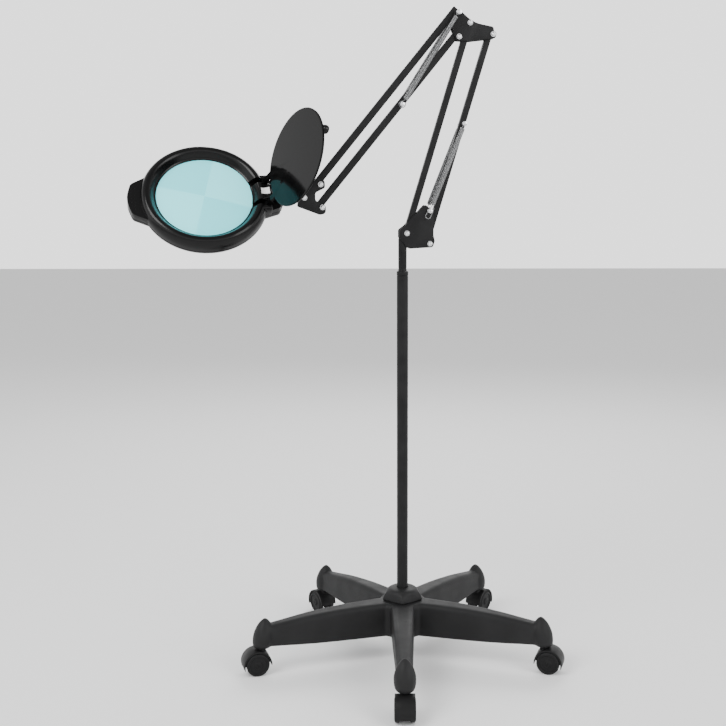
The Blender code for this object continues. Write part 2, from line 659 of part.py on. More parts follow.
def build_head_bracket(frame, paint, zinc, plastic, steel):
    corners = [(-6.5, 12.0, 6.0), (7.5, 7.5, 6.5), (8.0, -6.5, 5.0), (-10.5, -15.5, 6.0), (-10.5, -30.0, 6.0),
               (9.5, -40.0, 6.5), (9.0, -55.0, 7.0), (-2.0, -57.0, 4.0), (-44.0, -41.5, 4.0), (-40.5, -21.0, 8.0)]
    holes = [(U,), (L,), (T,)]
    for name, side in (("near", -1), ("far", 1)):
        place(f"head_plate_{name}", plate(corners, U, side, holes), paint, frame, point3(L))
    for name, spot in (("upper", U), ("lower", L), ("tilt", T)):
        place(f"head_bolt_{name}", bolt_mesh(spot), zinc, frame, point3(L))

    tilt = make_empty("tilt_frame", frame, tilt_matrix())
    turn = Matrix.Translation((0.0, 0.0, STEM_LIFT)) @ Matrix.Rotation(STEM_YAW, 4, "Z")
    stem_frame = make_empty("stem_frame", tilt, turn)
    half = PLATE_INNER - 2.0 * GAP
    knuckle = prism(circle((0.0, 0.0), 0.0088, 20), -half, half)
    arm = box((-0.0240, -half, -0.0062), (-0.0020, half, 0.0112))
    collar = box((-0.0330, -half, -0.0080), (-0.0215, half, 0.0066))
    tongue = box((-0.0400, -0.0055, -0.0080), (-0.0250, 0.0055, -0.0052))
    bore = rod(STEM_ROD_RADIUS + GAP, -0.0500, -0.0160, 18, axis="X")
    for part in (collar, tongue, bore):
        part.transform(turn)
    block = cut(union(knuckle, arm, collar, tongue), prism(hole((0.0, 0.0)), -0.02, 0.02), bore)
    place("tilt_block", block, plastic, tilt)
    stem_end = -(HEAD_REACH - NECK_END) - 0.0190
    place("roll_stem", rod(STEM_ROD_RADIUS, stem_end, -0.0163, 18, axis="X"), steel, stem_frame)
    return stem_frame


# ---- magnifier head ----------------------------------------------------------------------------------------
def neck_outline():
    """The neck seen from above, narrowing from the ring to the stem."""
    return rounded([(0.0900, -0.0440, 0.0), (0.1080, -0.0400, 0.020), (NECK_END, -0.0300, 0.008),
                    (NECK_END, 0.0300, 0.008), (0.1080, 0.0400, 0.020), (0.0900, 0.0440, 0.0)])


def neck_hollow(start):
    """The hollow inside the neck, from the given distance to just short of its end."""
    end = NECK_END - 0.0026
    return rounded([(start, -0.0350, 0.0), (end, -0.0272, 0.006), (end, 0.0272, 0.006), (start, 0.0350, 0.0)])


def grip_outline():
    """The finger grip opposite the neck, seen from above."""
    return rounded([(-0.0950, 0.0540, 0.0), (-0.1320, 0.0345, 0.012), (-0.1420, 0.0, 0.060),
                    (-0.1320, -0.0345, 0.012), (-0.0950, -0.0540, 0.0)])


def upper_shell_mesh():
    outside = [(0.1170, SEAM_HEIGHT + GAP), (0.1170, -0.0030), (0.1158, 0.0045), (0.1130, 0.0110),
               (0.1085, 0.0150), (0.1045, 0.0160), (0.1005, 0.0146), (0.0955, 0.0092), (0.0915, 0.0036),
               (0.0880, 0.0020), (0.0880, 0.0004)]
    inside = [(0.0905, 0.0004), (0.0945, 0.0040), (0.0980, 0.0090), (0.1015, 0.0125), (0.1045, 0.0136),
              (0.1080, 0.0126), (0.1110, 0.0088), (0.1132, 0.0035), (0.1143, -0.0030),
              (0.1143, SEAM_HEIGHT + GAP)]
    segments = RING_SEGMENTS
    ring = turned(outside + inside, segments, True)
    low = SEAM_HEIGHT + GAP
    floor_top = 0.0006
    lens_well = rod(0.0935, -0.05, 0.05, segments)
    neck = prism(neck_outline(), low, floor_top, plane="XY")
    island = box((0.1000, -ISLAND_HALF, low), (NECK_END, ISLAND_HALF, ISLAND_TOP))
    cheeks = [box((0.1010, side * 0.0350 - 0.0037, low), (0.1215, side * 0.0350 + 0.0037, 0.0125)) for side in (-1, 1)]
    neck = cut(union(neck, island, *cheeks), lens_well)
    grip = cut(prism(grip_outline(), low, 0.0030, plane="XY"), rod(0.1150, -0.05, 0.05, segments))
    body = union(ring, neck, grip)
    slots = [box((0.0800, side * HINGE_ARM_Y - HINGE_ARM_HALF - 0.0007, floor_top),
                 (0.1230, side * HINGE_ARM_Y + HINGE_ARM_HALF + 0.0007, 0.03)) for side in (-1, 1)]
    hollow = prism(neck_hollow(0.1000), low - 0.001, -0.0024, plane="XY")
    pin_bore = rod(HINGE_PIN_RADIUS + GAP, -0.0345, 0.0345, 12, (HINGE_X, 0.0, HINGE_Z), "Y")
    stem_bore = rod(STEM_ROD_RADIUS + GAP, 0.1200, 0.1500, 18, (0.0, 0.0, ROLL_AXIS_HEIGHT), "X")
    well = box((SWITCH_X - 0.0092, -0.0078, 0.0092), (SWITCH_X + 0.0092, 0.0078, 0.03))
    return cut(body, *slots, hollow, pin_bore, stem_bore, well)


def lower_shell_mesh():
    top = SEAM_HEIGHT
    profile = [(0.1120, top), (0.1168, top), (0.1160, -0.0145), (0.1136, -0.0185), (0.1086, -0.0208),
               (0.1086, -0.0185), (0.1098, -0.0168), (0.1112, -0.0135)]
    segments = RING_SEGMENTS
    ring = turned(profile, segments, True)
    neck = prism(neck_outline(), -0.0200, top, plane="XY")
    grip = prism(grip_outline(), -0.0165, top, plane="XY")
    ring_well = rod(0.1110, -0.05, 0.05, segments)
    neck, grip = (cut(piece, ring_well) for piece in (neck, grip))
    hollow = prism(neck_hollow(0.1160), -0.0175, top + 0.002, plane="XY")
    knob_hole = rod(0.0033, -0.03, 0.0, 12, (KNOB_X - 0.004, 0.0, 0.0))
    return cut(union(ring, neck, grip), hollow, knob_hole)


def lens_mesh():
    rim_low, rim_high, crown = -0.0042, 0.0, 0.0040
    steps = 3
    upper = [(LENS_RADIUS * math.cos(a), rim_high + crown * math.sin(a))
             for a in (math.pi / 2.0 * index / steps for index in range(steps))]
    lower = [(radius, rim_low - (height - rim_high)) for radius, height in upper]
    return turned([(0.0004, rim_low - crown)] + lower[::-1] + upper + [(0.0004, rim_high + crown)], 30)


def diffuser_mesh():
    """The white ring under the lamps, with the upstand that carries the lens."""
    profile = [(0.0882, -0.0047), (0.0913, -0.0047), (0.0913, -0.0182), (0.1082, -0.0182),
               (0.1082, -0.0202), (0.0882, -0.0202)]
    return turned(profile, RING_SEGMENTS, True)


def cover_mesh():
    """The lid as it lies when shut: disc, two hinge arms and a round finger knob on top."""
    disc = turned([(0.0300, COVER_LOW), (COVER_RADIUS - 0.0012, COVER_LOW), (COVER_RADIUS, COVER_LOW + 0.0010),
                   (COVER_RADIUS, COVER_HIGH - 0.0010), (COVER_RADIUS - 0.0015, COVER_HIGH),
                   (0.0300, COVER_HIGH)], RING_SEGMENTS)
    arms = []
    for side in (-1, 1):
        middle = side * HINGE_ARM_Y
        outline = circle((HINGE_X, HINGE_Z), 0.0047, 12, math.radians(-135.0), math.radians(270.0))
        outline += [(0.0800, COVER_HIGH + 0.0005), (0.0800, COVER_LOW)]
        arms.append(prism(outline, middle - HINGE_ARM_HALF, middle + HINGE_ARM_HALF))
    knob = turned([(0.0070, COVER_HIGH - 0.001), (0.0070, 0.0100), (0.0080, 0.0125), (0.0080, 0.0180),
                   (0.0066, 0.0195)], 14, False, (-0.0842, 0.0, 0.0))
    bore = rod(HINGE_PIN_RADIUS + GAP, -0.05, 0.05, 12, (HINGE_X, 0.0, HINGE_Z), "Y")
    return cut(union(disc, *arms, knob), bore)


def knob_mesh():
    """The clamp knob under the neck: eight shallow flutes and a screw up into the neck."""
    low, high, radius = -0.0370, -0.0203, 0.0180
    rings = []
    for height, share in ((low, 0.86), (low + 0.0030, 1.0), (high - 0.003, 0.96), (high, 0.82)):
        ring = []
        for index in range(24):
            angle = 2.0 * math.pi * index / 24
            reach = radius * share * (0.965 + 0.035 * math.cos(8.0 * angle))
            ring.append((reach * math.cos(angle), reach * math.sin(angle), height))
        rings.append(ring)
    return union(loft(rings), rod(0.0030, high - 0.003, -0.0130, 12))


def rocker_mesh():
    """The rocker key, drawn level about its own pivot."""
    half = 0.0082
    outline = [(-half, -0.0008), (half, -0.0008), (half, 0.0042), (half * 0.5, 0.0032), (0.0, 0.0027),
               (-half * 0.5, 0.0032), (-half, 0.0042)]
    return prism(outline, -0.0070, 0.0070)


def build_head(stem, colours):
    roll = Matrix.Rotation(HEAD_ROLL, 4, "X")
    shift = Matrix.Translation((-HEAD_REACH, 0.0, -ROLL_AXIS_HEIGHT))
    head = make_empty("head_frame", stem, roll @ shift)
    axis_point = (0.0, 0.0, ROLL_AXIS_HEIGHT)
    place("head_upper_shell", upper_shell_mesh(), colours["gloss"], head, axis_point)
    place("head_lower_shell", lower_shell_mesh(), colours["gloss"], head, axis_point)
    place("lens", lens_mesh(), colours["glass"], head, axis_point)
    place("led_board", tube(0.1075, 0.0955, -0.0135, -0.0120, RING_SEGMENTS), colours["white"], head, axis_point)
    place("diffuser", diffuser_mesh(), colours["white"], head, axis_point)
    pin = rod(HINGE_PIN_RADIUS, -0.0340, 0.0340, 12, (HINGE_X, 0.0, HINGE_Z), "Y")
    place("cover_hinge_pin", pin, colours["zinc"], head, axis_point)

    hinge = make_empty("cover_frame", head, Matrix.Translation((HINGE_X, 0.0, HINGE_Z))
                       @ Matrix.Rotation(COVER_OPEN, 4, "Y") @ Matrix.Translation((-HINGE_X, 0.0, -HINGE_Z)))
    place("lens_cover", cover_mesh(), colours["gloss"], hinge, (HINGE_X, 0.0, HINGE_Z))
    knob_spot = (KNOB_X - 0.004, 0.0, 0.0)
    knob = knob_mesh()
    knob.transform(Matrix.Translation(knob_spot))
    place("roll_knob", knob, colours["plastic"], head, knob_spot)
    rocker = place("rocker_switch", rocker_mesh(), colours["white"], head)
    rocker.location = (SWITCH_X, 0.0, 0.0116)
    rocker.rotation_euler = (0.0, math.radians(-5.0), 0.0)


def build_lamp():
    clear_scene()
    colours = {
        "paint": make_material("dark_grey_paint", (0.045, 0.045, 0.047), 0.42, 0.1),
        "plastic": make_material("dark_plastic", (0.030, 0.030, 0.032), 0.5),
        "rubber": make_material("wheel_nylon", (0.022, 0.022, 0.024), 0.55),
        "gloss": make_material("gloss_black_plastic", (0.008, 0.008, 0.009), 0.16),
        "zinc": make_material("zinc_plate", (0.72, 0.73, 0.74), 0.28, 1.0),
        "steel": make_material("spring_steel", (0.55, 0.56, 0.57), 0.3, 1.0),
        "glass": make_material("lens_glass", (0.55, 0.86, 0.88), 0.05),
        "white": make_material("white_plastic", (0.85, 0.85, 0.84), 0.4),
    }
    root = make_empty("lamp_root", None, Matrix.Translation((POST_X, POST_Y, 0.0)))
    build_base(root, colours["paint"], colours["plastic"], colours["rubber"])
    arm = make_empty("arm_frame", root, Matrix.Rotation(ARM_YAW, 4, "Z"))
    build_bracket(arm, colours["paint"], colours["zinc"], colours["paint"])
    build_lower_arm(arm, colours["paint"], colours["zinc"], colours["steel"])
    build_elbow(arm, colours["paint"], colours["zinc"])
    build_upper_arm(arm, colours["paint"], colours["zinc"], colours["steel"])
    stem = build_head_bracket(arm, colours["paint"], colours["zinc"], colours["plastic"], colours["steel"])
    build_head(stem, colours)


build_lamp()
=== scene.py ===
"""Looks of the floor-standing magnifying lamp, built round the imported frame.

Metres, +Z up. Every place comes from the frame: the joints give the pivots and axes, the
nodes' boxes give the springs' pins. Pieces are drawn in the arm's plane, in the head's own
frame or in a caster's frame, and carried to the world by that frame's matrix.
"""
import json
import math

import bmesh
import bpy
from mathutils import Matrix, Vector


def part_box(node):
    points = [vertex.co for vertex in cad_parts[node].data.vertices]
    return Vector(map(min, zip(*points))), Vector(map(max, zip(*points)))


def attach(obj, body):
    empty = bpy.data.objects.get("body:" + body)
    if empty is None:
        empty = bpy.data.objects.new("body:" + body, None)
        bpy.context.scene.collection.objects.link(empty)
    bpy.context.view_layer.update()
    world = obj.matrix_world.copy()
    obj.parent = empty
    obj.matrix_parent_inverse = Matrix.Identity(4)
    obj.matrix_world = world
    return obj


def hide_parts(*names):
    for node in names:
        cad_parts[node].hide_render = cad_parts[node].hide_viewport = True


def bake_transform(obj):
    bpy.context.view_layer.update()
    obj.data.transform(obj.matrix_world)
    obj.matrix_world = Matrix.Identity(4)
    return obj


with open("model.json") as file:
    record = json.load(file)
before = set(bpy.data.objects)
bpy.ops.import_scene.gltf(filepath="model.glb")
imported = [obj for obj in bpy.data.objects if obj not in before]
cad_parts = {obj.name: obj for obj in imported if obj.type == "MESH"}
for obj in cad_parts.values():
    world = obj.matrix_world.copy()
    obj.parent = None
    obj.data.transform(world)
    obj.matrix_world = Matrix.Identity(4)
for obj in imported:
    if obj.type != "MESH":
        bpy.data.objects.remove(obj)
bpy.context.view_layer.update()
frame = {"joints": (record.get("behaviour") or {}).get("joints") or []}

MM = 0.001
GAP = 0.0003
TAU = 2.0 * math.pi

# ---- sizes shared with the frame -----------------------------------------------
LEG_COUNT = 5
FRONT_LEG_ANGLE = math.radians(-90.0)
STEM_CIRCLE = 0.2915
AXLE_TRAIL = 0.0095
WHEEL_RADIUS = 0.0225
WHEEL_WIDTH = 0.0095
CASTER_WIDTH = 0.0386
SOCKET_BOTTOM = 0.0520
HOOD_RADIUS = 0.0275
HUB_TOP = 0.1180
POST_RADIUS = 0.0110
POST_WALL = 0.0015
SPIGOT_RADIUS = 0.00825
PLATE_INNER = 0.0072
PLATE_OUTER = 0.0094
BAR_DEPTH = 0.0120
LOWER_BAR_WIDTH = 0.0120
UPPER_BAR_WIDTH = 0.0132
BAR_WALL = 0.0012
BAR_OVERRUN = 0.0058
LUG_RADIUS = 0.0052
LUG_STEP = 0.0002
BOLT_RADIUS = 0.0030
SPRING_Y = 0.0190
PIN_END = 0.0245
PIN_RADIUS = 0.0025
SPRING_RADIUS = 0.0046
TURN_STEPS = 14
WIRE_RADIUS = 0.00068
HINGE_X = 0.1123
HINGE_Z = 0.0062
HINGE_ARM_Y = 0.0250
HINGE_ARM_HALF = 0.0050
COVER_RADIUS = 0.0910
COVER_LOW = 0.0047
COVER_HIGH = 0.0077
NECK_END = 0.1400
ROLL_STEM_RADIUS = 0.00425
SEAM_HEIGHT = -0.0100
SWITCH_X = 0.1125
KNOB_X = 0.1310
LENS_MIDDLE = -0.0021
RING_SEGMENTS = 128
LENS_RADIUS = 0.0900
LENS_CROWN = 0.0040
STAR_VOXEL = 0.0022
FLOOR_HALF = 12.0
FLOOR_DEPTH = 0.01

# ---- places from the frame -----------------------------------------------------
JOINTS = {joint["name"]: joint for joint in frame["joints"]}


def box_middle(node):
    low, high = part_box(node)
    return (low + high) / 2.0


def joint_axis(name):
    return Vector(JOINTS[name]["axis"]).normalized()


POST = box_middle("post_tube")
POST_LOW, POST_HIGH = (corner.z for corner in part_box("post_tube"))
ARM_SIDE = joint_axis("lower_arm")
ARM_YAW = math.atan2(-ARM_SIDE.x, ARM_SIDE.y)
POST_FRAME = Matrix.Translation((POST.x, POST.y, 0.0))
ARM_FRAME = POST_FRAME @ Matrix.Rotation(ARM_YAW, 4, "Z")


def in_plane(world_point):
    """The (s, z) place of a world point in the arm's plane."""
    local = ARM_FRAME.inverted() @ Vector(world_point)
    return Vector((local.x, local.z))


def pivot(name):
    return in_plane(JOINTS[name]["pos_m"])


P1, P2 = pivot("lower_arm"), pivot("lower_rear_link")
A, B, C = pivot("upper_top_link"), pivot("elbow_level"), pivot("upper_arm")
L, T = pivot("head_level"), pivot("head_tilt")
D = P2 + (B - P1)
U = A + (L - C)
ARM_LENGTH = (B - P1).length
LOWER_DIRECTION = (B - P1).normalized()
UPPER_DIRECTION = (L - C).normalized()

HEAD_AXES = [joint_axis(name) for name in ("head_roll", "cover_hinge", "knob_turn")]
HEAD_TURN = Matrix(HEAD_AXES).transposed().to_4x4()
HEAD_FRAME = Matrix.Translation(box_middle("lens") - HEAD_AXES[2] * LENS_MIDDLE) @ HEAD_TURN
COVER_OPEN = math.radians(-JOINTS["cover_hinge"]["range_deg"][0])
COVER_FRAME = (HEAD_FRAME @ Matrix.Translation((HINGE_X, 0.0, HINGE_Z))
               @ Matrix.Rotation(COVER_OPEN, 4, "Y") @ Matrix.Translation((-HINGE_X, 0.0, -HINGE_Z)))
TILT_X = (HEAD_AXES[0] - ARM_SIDE * HEAD_AXES[0].dot(ARM_SIDE)).normalized()
TILT_Z = TILT_X.cross(ARM_SIDE)
TILT_FRAME = (Matrix.Translation(JOINTS["head_tilt"]["pos_m"])
              @ Matrix((TILT_X, ARM_SIDE, TILT_Z)).transposed().to_4x4())
ROLL_POINT = Vector(JOINTS["head_roll"]["pos_m"])
TILT_POINT = Vector(JOINTS["head_tilt"]["pos_m"])
STEM_POINT = ROLL_POINT + HEAD_AXES[0] * (TILT_POINT - ROLL_POINT).dot(HEAD_AXES[0])
STEM_FRAME = (Matrix.Translation(STEM_POINT)
              @ Matrix((HEAD_AXES[0], TILT_Z.cross(HEAD_AXES[0]), TILT_Z)).transposed().to_4x4())
ROLL_AXIS_HEIGHT = (ROLL_POINT - HEAD_FRAME.translation).dot(HEAD_AXES[2])
NECK_TO_TILT = (STEM_POINT - HEAD_FRAME.translation).dot(HEAD_AXES[0]) - NECK_END


GRAIN_DEPTH = 0.0002


# ---- materials -----------------------------------------------------------------
def new_material(name, colour, roughness, metallic=0.0, **sockets):
    material = bpy.data.materials.new(name)
    material.use_nodes = True
    shader = material.node_tree.nodes["Principled BSDF"]
    shader.inputs["Base Color"].default_value = (*colour, 1.0)
    shader.inputs["Roughness"].default_value = roughness
    shader.inputs["Metallic"].default_value = metallic
    for socket, value in sockets.items():
        shader.inputs[socket.replace("_", " ")].default_value = value
    return material


def noise_node(material, scale, detail):
    nodes, links = material.node_tree.nodes, material.node_tree.links
    place = nodes.new("ShaderNodeTexCoord")
    noise = nodes.new("ShaderNodeTexNoise")
    noise.inputs["Scale"].default_value = scale
    noise.inputs["Detail"].default_value = detail
    links.new(place.outputs["Object"], noise.inputs["Vector"])
    return noise


def vary_roughness(material, scale, low, high):
    nodes, links = material.node_tree.nodes, material.node_tree.links
    noise = noise_node(material, scale, 5.0)
    spread = nodes.new("ShaderNodeMapRange")
    spread.inputs["From Min"].default_value = 0.3
    spread.inputs["From Max"].default_value = 0.7
    spread.inputs["To Min"].default_value = low
    spread.inputs["To Max"].default_value = high
    links.new(noise.outputs["Fac"], spread.inputs["Value"])
    links.new(spread.outputs["Result"], nodes["Principled BSDF"].inputs["Roughness"])


def vary_colour(material, scale, first, second):
    nodes, links = material.node_tree.nodes, material.node_tree.links
    noise = noise_node(material, scale, 4.0)
    ramp = nodes.new("ShaderNodeValToRGB")
    ramp.color_ramp.elements[0].position = 0.35
    ramp.color_ramp.elements[0].color = (*first, 1.0)
    ramp.color_ramp.elements[1].position = 0.65
    ramp.color_ramp.elements[1].color = (*second, 1.0)
    links.new(noise.outputs["Fac"], ramp.inputs["Fac"])
    links.new(ramp.outputs["Color"], nodes["Principled BSDF"].inputs["Base Color"])


def add_grain(material, scale, strength):
    nodes, links = material.node_tree.nodes, material.node_tree.links
    noise = noise_node(material, scale, 3.0)
    bump = nodes.new("ShaderNodeBump")
    bump.inputs["Strength"].default_value = strength
    bump.inputs["Distance"].default_value = GRAIN_DEPTH
    links.new(noise.outputs["Fac"], bump.inputs["Height"])
    links.new(bump.outputs["Normal"], nodes["Principled BSDF"].inputs["Normal"])


def add_painted_reflection_sectors(material, light, deep):
    """Four soft-edged sectors about the lens's centre, lighter and darker in turn: painted reflections of
    the studio lights in the curved glass, drawn into the base colour.
    """
    nodes, links = material.node_tree.nodes, material.node_tree.links
    place = nodes.new("ShaderNodeTexCoord")
    mapping = nodes.new("ShaderNodeMapping")
    mapping.vector_type = "TEXTURE"
    mapping.inputs["Location"].default_value = HEAD_FRAME.translation
    mapping.inputs["Rotation"].default_value = HEAD_FRAME.to_euler()
    gradient = nodes.new("ShaderNodeTexGradient")
    gradient.gradient_type = "RADIAL"
    ramp = nodes.new("ShaderNodeValToRGB")
    edges = [math.radians(degrees) for degrees in (-106.0, -19.0, 74.0, 162.0)]
    half_width = 0.006
    stops = [(0.0, light)]
    for index, edge in enumerate(edges):
        before, after = (light, deep) if index % 2 == 0 else (deep, light)
        share = edge / TAU + 0.5
        stops += [(share - half_width, before), (share + half_width, after)]
    stops.append((1.0, light))
    first, last = ramp.color_ramp.elements
    first.position, first.color = stops[0][0], (*stops[0][1], 1.0)
    last.position, last.color = stops[-1][0], (*stops[-1][1], 1.0)
    for position, colour in stops[1:-1]:
        element = ramp.color_ramp.elements.new(position)
        element.color = (*colour, 1.0)
    links.new(place.outputs["Object"], mapping.inputs["Vector"])
    links.new(mapping.outputs["Vector"], gradient.inputs["Vector"])
    links.new(gradient.outputs["Fac"], ramp.inputs["Fac"])
    links.new(ramp.outputs["Color"], nodes["Principled BSDF"].inputs["Base Color"])


def grey(value):
    return (value, value, value * 1.03)


def make_materials():
    paint = new_material("dark_grey_paint", grey(0.011), 0.45, Specular_IOR_Level=0.12)
    vary_colour(paint, 40.0, grey(0.009), grey(0.013))
    vary_roughness(paint, 60.0, 0.36, 0.48)
    add_grain(paint, 1400.0, 0.22)
    base = new_material("base_moulding", grey(0.014), 0.55, Specular_IOR_Level=0.14)
    vary_colour(base, 18.0, grey(0.0125), grey(0.0155))
    vary_roughness(base, 30.0, 0.44, 0.56)
    add_grain(base, 1800.0, 0.30)
    dark = new_material("dark_moulding", grey(0.008), 0.46, Specular_IOR_Level=0.15)
    vary_roughness(dark, 50.0, 0.38, 0.52)
    add_grain(dark, 1600.0, 0.25)
    wheel = new_material("wheel_nylon", grey(0.008), 0.50, Specular_IOR_Level=0.15)
    vary_roughness(wheel, 70.0, 0.42, 0.60)
    add_grain(wheel, 1200.0, 0.22)
    tread = new_material("wheel_tread", grey(0.012), 0.62, Specular_IOR_Level=0.25)
    vary_colour(tread, 90.0, grey(0.010), grey(0.015))
    add_grain(tread, 900.0, 0.35)
    gloss = new_material("gloss_black_plastic", grey(0.0030), 0.22, Specular_IOR_Level=0.20)
    vary_roughness(gloss, 24.0, 0.17, 0.25)
    add_grain(gloss, 260.0, 0.05)
    lid = new_material("polished_black_plastic", grey(0.0025), 0.17, Specular_IOR_Level=0.08)
    vary_roughness(lid, 20.0, 0.05, 0.10)
    add_grain(lid, 90.0, 0.02)
    zinc = new_material("zinc_plate", (0.74, 0.75, 0.76), 0.26, 1.0)
    vary_colour(zinc, 300.0, (0.68, 0.69, 0.70), (0.80, 0.80, 0.81))
    vary_roughness(zinc, 400.0, 0.20, 0.34)
    add_grain(zinc, 2200.0, 0.12)
    steel = new_material("spring_steel", (0.24, 0.243, 0.247), 0.30, 1.0)
    vary_colour(steel, 260.0, (0.20, 0.203, 0.206), (0.28, 0.283, 0.287))
    vary_roughness(steel, 420.0, 0.20, 0.36)
    add_grain(steel, 2600.0, 0.10)
    # The lens glows by a painted emission, though it is no lamp: cyan light added to brighten the glass.
    lens = new_material("lens_glass", (0.25, 0.88, 0.93), 0.05, 0.0, Transmission_Weight=0.15, IOR=1.5,
                        Emission_Color=(0.35, 0.95, 1.0, 1.0), Emission_Strength=0.30)
    # Painted reflection: lighter and darker wedges set into the lens's base colour.
    add_painted_reflection_sectors(lens, (0.25, 0.90, 0.95), (0.16, 0.76, 0.82))
    vary_roughness(lens, 12.0, 0.03, 0.07)
    white = new_material("white_plastic", (0.82, 0.82, 0.81), 0.35)
    vary_roughness(white, 40.0, 0.30, 0.42)
    add_grain(white, 1500.0, 0.10)
    diffuser = new_material("milky_diffuser", (0.86, 0.87, 0.87), 0.45, 0.0, Transmission_Weight=0.25)
    vary_roughness(diffuser, 30.0, 0.40, 0.52)
    add_grain(diffuser, 1300.0, 0.20)
    board = new_material("lamp_board", (0.74, 0.75, 0.74), 0.5)
    vary_colour(board, 220.0, (0.70, 0.71, 0.70), (0.78, 0.79, 0.78))
    return {"paint": paint, "base": base, "dark": dark, "wheel": wheel, "tread": tread, "gloss": gloss,
            "lid": lid, "zinc": zinc, "steel": steel, "lens": lens, "white": white, "diffuser": diffuser,
            "board": board}


LOOKS = make_materials()


# ---- mesh helpers --------------------------------------------------------------
def to_mesh(bm):
    bmesh.ops.recalc_face_normals(bm, faces=bm.faces[:])
    mesh_data = bpy.data.meshes.new("mesh")
    bm.to_mesh(mesh_data)
    bm.free()
    return mesh_data


def temporary(mesh_data):
    item = bpy.data.objects.new("temporary", mesh_data)
    bpy.context.scene.collection.objects.link(item)
    return item


def evaluated(item):
    graph = bpy.context.evaluated_depsgraph_get()
    result = bpy.data.meshes.new_from_object(item.evaluated_get(graph))
    bpy.data.objects.remove(item, do_unlink=True)
    return result


def combine(first, others, operation):
    target = temporary(first)
    helpers = [temporary(other) for other in others]
    for helper in helpers:
        modifier = target.modifiers.new("combine", "BOOLEAN")
        modifier.operation = operation
        modifier.solver = "EXACT"
        modifier.object = helper
    result = evaluated(target)
    for item in helpers:
        bpy.data.objects.remove(item, do_unlink=True)
    return result


def union(first, *others):
    return combine(first, others, "UNION")


def cut(first, *others):
    return combine(first, others, "DIFFERENCE")


def joined(*parts):
    """Several meshes in one, without merging them."""
    bm = bmesh.new()
    for part in parts:
        bm.from_mesh(part)
    mesh_data = bpy.data.meshes.new("mesh")
    bm.to_mesh(mesh_data)
    bm.free()
    return mesh_data


def moved(mesh_data, matrix):
    copy = mesh_data.copy()
    copy.transform(matrix)
    return copy


def bevelled(mesh_data, width, segments=2, angle=38.0):
    """The mesh with its sharp edges rounded off."""
    item = temporary(mesh_data)
    modifier = item.modifiers.new("edges", "BEVEL")
    modifier.width = width
    modifier.segments = segments
    modifier.limit_method = "ANGLE"
    modifier.angle_limit = math.radians(angle)
    modifier.use_clamp_overlap = True
    return evaluated(item)


def piece(name, mesh_data, look, body, replaces=(), smooth_angle=40.0, ride=True):
    """A finished piece of the lamp: its mesh is already in world coordinates."""
    mesh_data.name = name
    mesh_data.materials.clear()
    mesh_data.materials.append(LOOKS[look])
    mesh_data.shade_smooth()
    mesh_data.set_sharp_from_angle(angle=math.radians(smooth_angle))
    item = bpy.data.objects.new(name, mesh_data)
    bpy.context.scene.collection.objects.link(item)
    if replaces:
        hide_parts(*replaces)
    if ride:
        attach(item, body)
    return item


def loft(rings, closed=False):
    bm = bmesh.new()
    rows = [[bm.verts.new(point) for point in ring] for ring in rings]
    pairs = list(zip(rows, rows[1:]))
    if closed:
        pairs.append((rows[-1], rows[0]))
    count = len(rows[0])
    for low, high in pairs:
        for index in range(count):
            after = (index + 1) % count
            bm.faces.new((low[index], low[after], high[after], high[index]))
    if not closed:
        bm.faces.new(rows[0])
        bm.faces.new(rows[-1])
    return to_mesh(bm)


def circle(centre, radius, segments, start=0.0, sweep=TAU):
    full = abs(sweep) > TAU - 0.001
    steps = segments if full else segments + 1
    angles = [start + sweep * index / segments for index in range(steps)]
    return [(centre[0] + radius * math.cos(angle), centre[1] + radius * math.sin(angle))
            for angle in angles]


def turned(profile, segments, hollow=False, centre=(0.0, 0.0, 0.0), axis="Z"):
    """A turned solid from (radius, height) points; a hollow profile is a closed loop."""
    def spin(radius, height, angle):
        first, second = radius * math.cos(angle), radius * math.sin(angle)
        point = {"Z": (first, second, height), "Y": (first, height, second),
                 "X": (height, first, second)}[axis]
        return Vector(point) + Vector(centre)

    angles = [TAU * index / segments for index in range(segments)]
    if hollow:
        return loft([[spin(radius, height, angle) for radius, height in profile] for angle in angles], True)
    return loft([[spin(radius, height, angle) for angle in angles] for radius, height in profile])


def rod(radius, low, high, segments=32, centre=(0.0, 0.0, 0.0), axis="Z"):
    return turned([(radius, low), (radius, high)], segments, False, centre, axis)


def box(low, high):
    corners = [(low[0], low[1]), (high[0], low[1]), (high[0], high[1]), (low[0], high[1])]
    return loft([[(x, y, z) for x, y in corners] for z in (low[2], high[2])])


def prism(outline, low, high, holes=(), plane="XZ"):
    """Extrude an outline with holes: along Y for plane XZ, along Z for plane XY."""
    def point(pair, height):
        return (pair[0], height, pair[1]) if plane == "XZ" else (pair[0], pair[1], height)

    bm = bmesh.new()
    edges = []
    for loop in (outline, *holes):
        verts = [bm.verts.new(point(pair, low)) for pair in loop]
        edges += [bm.edges.new(pair) for pair in zip(verts, verts[1:] + verts[:1])]
    bmesh.ops.triangle_fill(bm, edges=edges, use_beauty=True, use_dissolve=False)
    bm.verts.index_update()
    base_faces = [[vert.index for vert in face.verts] for face in bm.faces]
    base_edges = [[vert.index for vert in edge.verts] for edge in edges]
    bases = list(bm.verts)
    offset = Vector(point((0.0, 0.0), high - low))
    tops = [bm.verts.new(vert.co + offset) for vert in bases]
    for face in base_faces:
        bm.faces.new([tops[index] for index in face])
    for first, second in base_edges:
        bm.faces.new((bases[first], bases[second], tops[second], tops[first]))
    return to_mesh(bm)


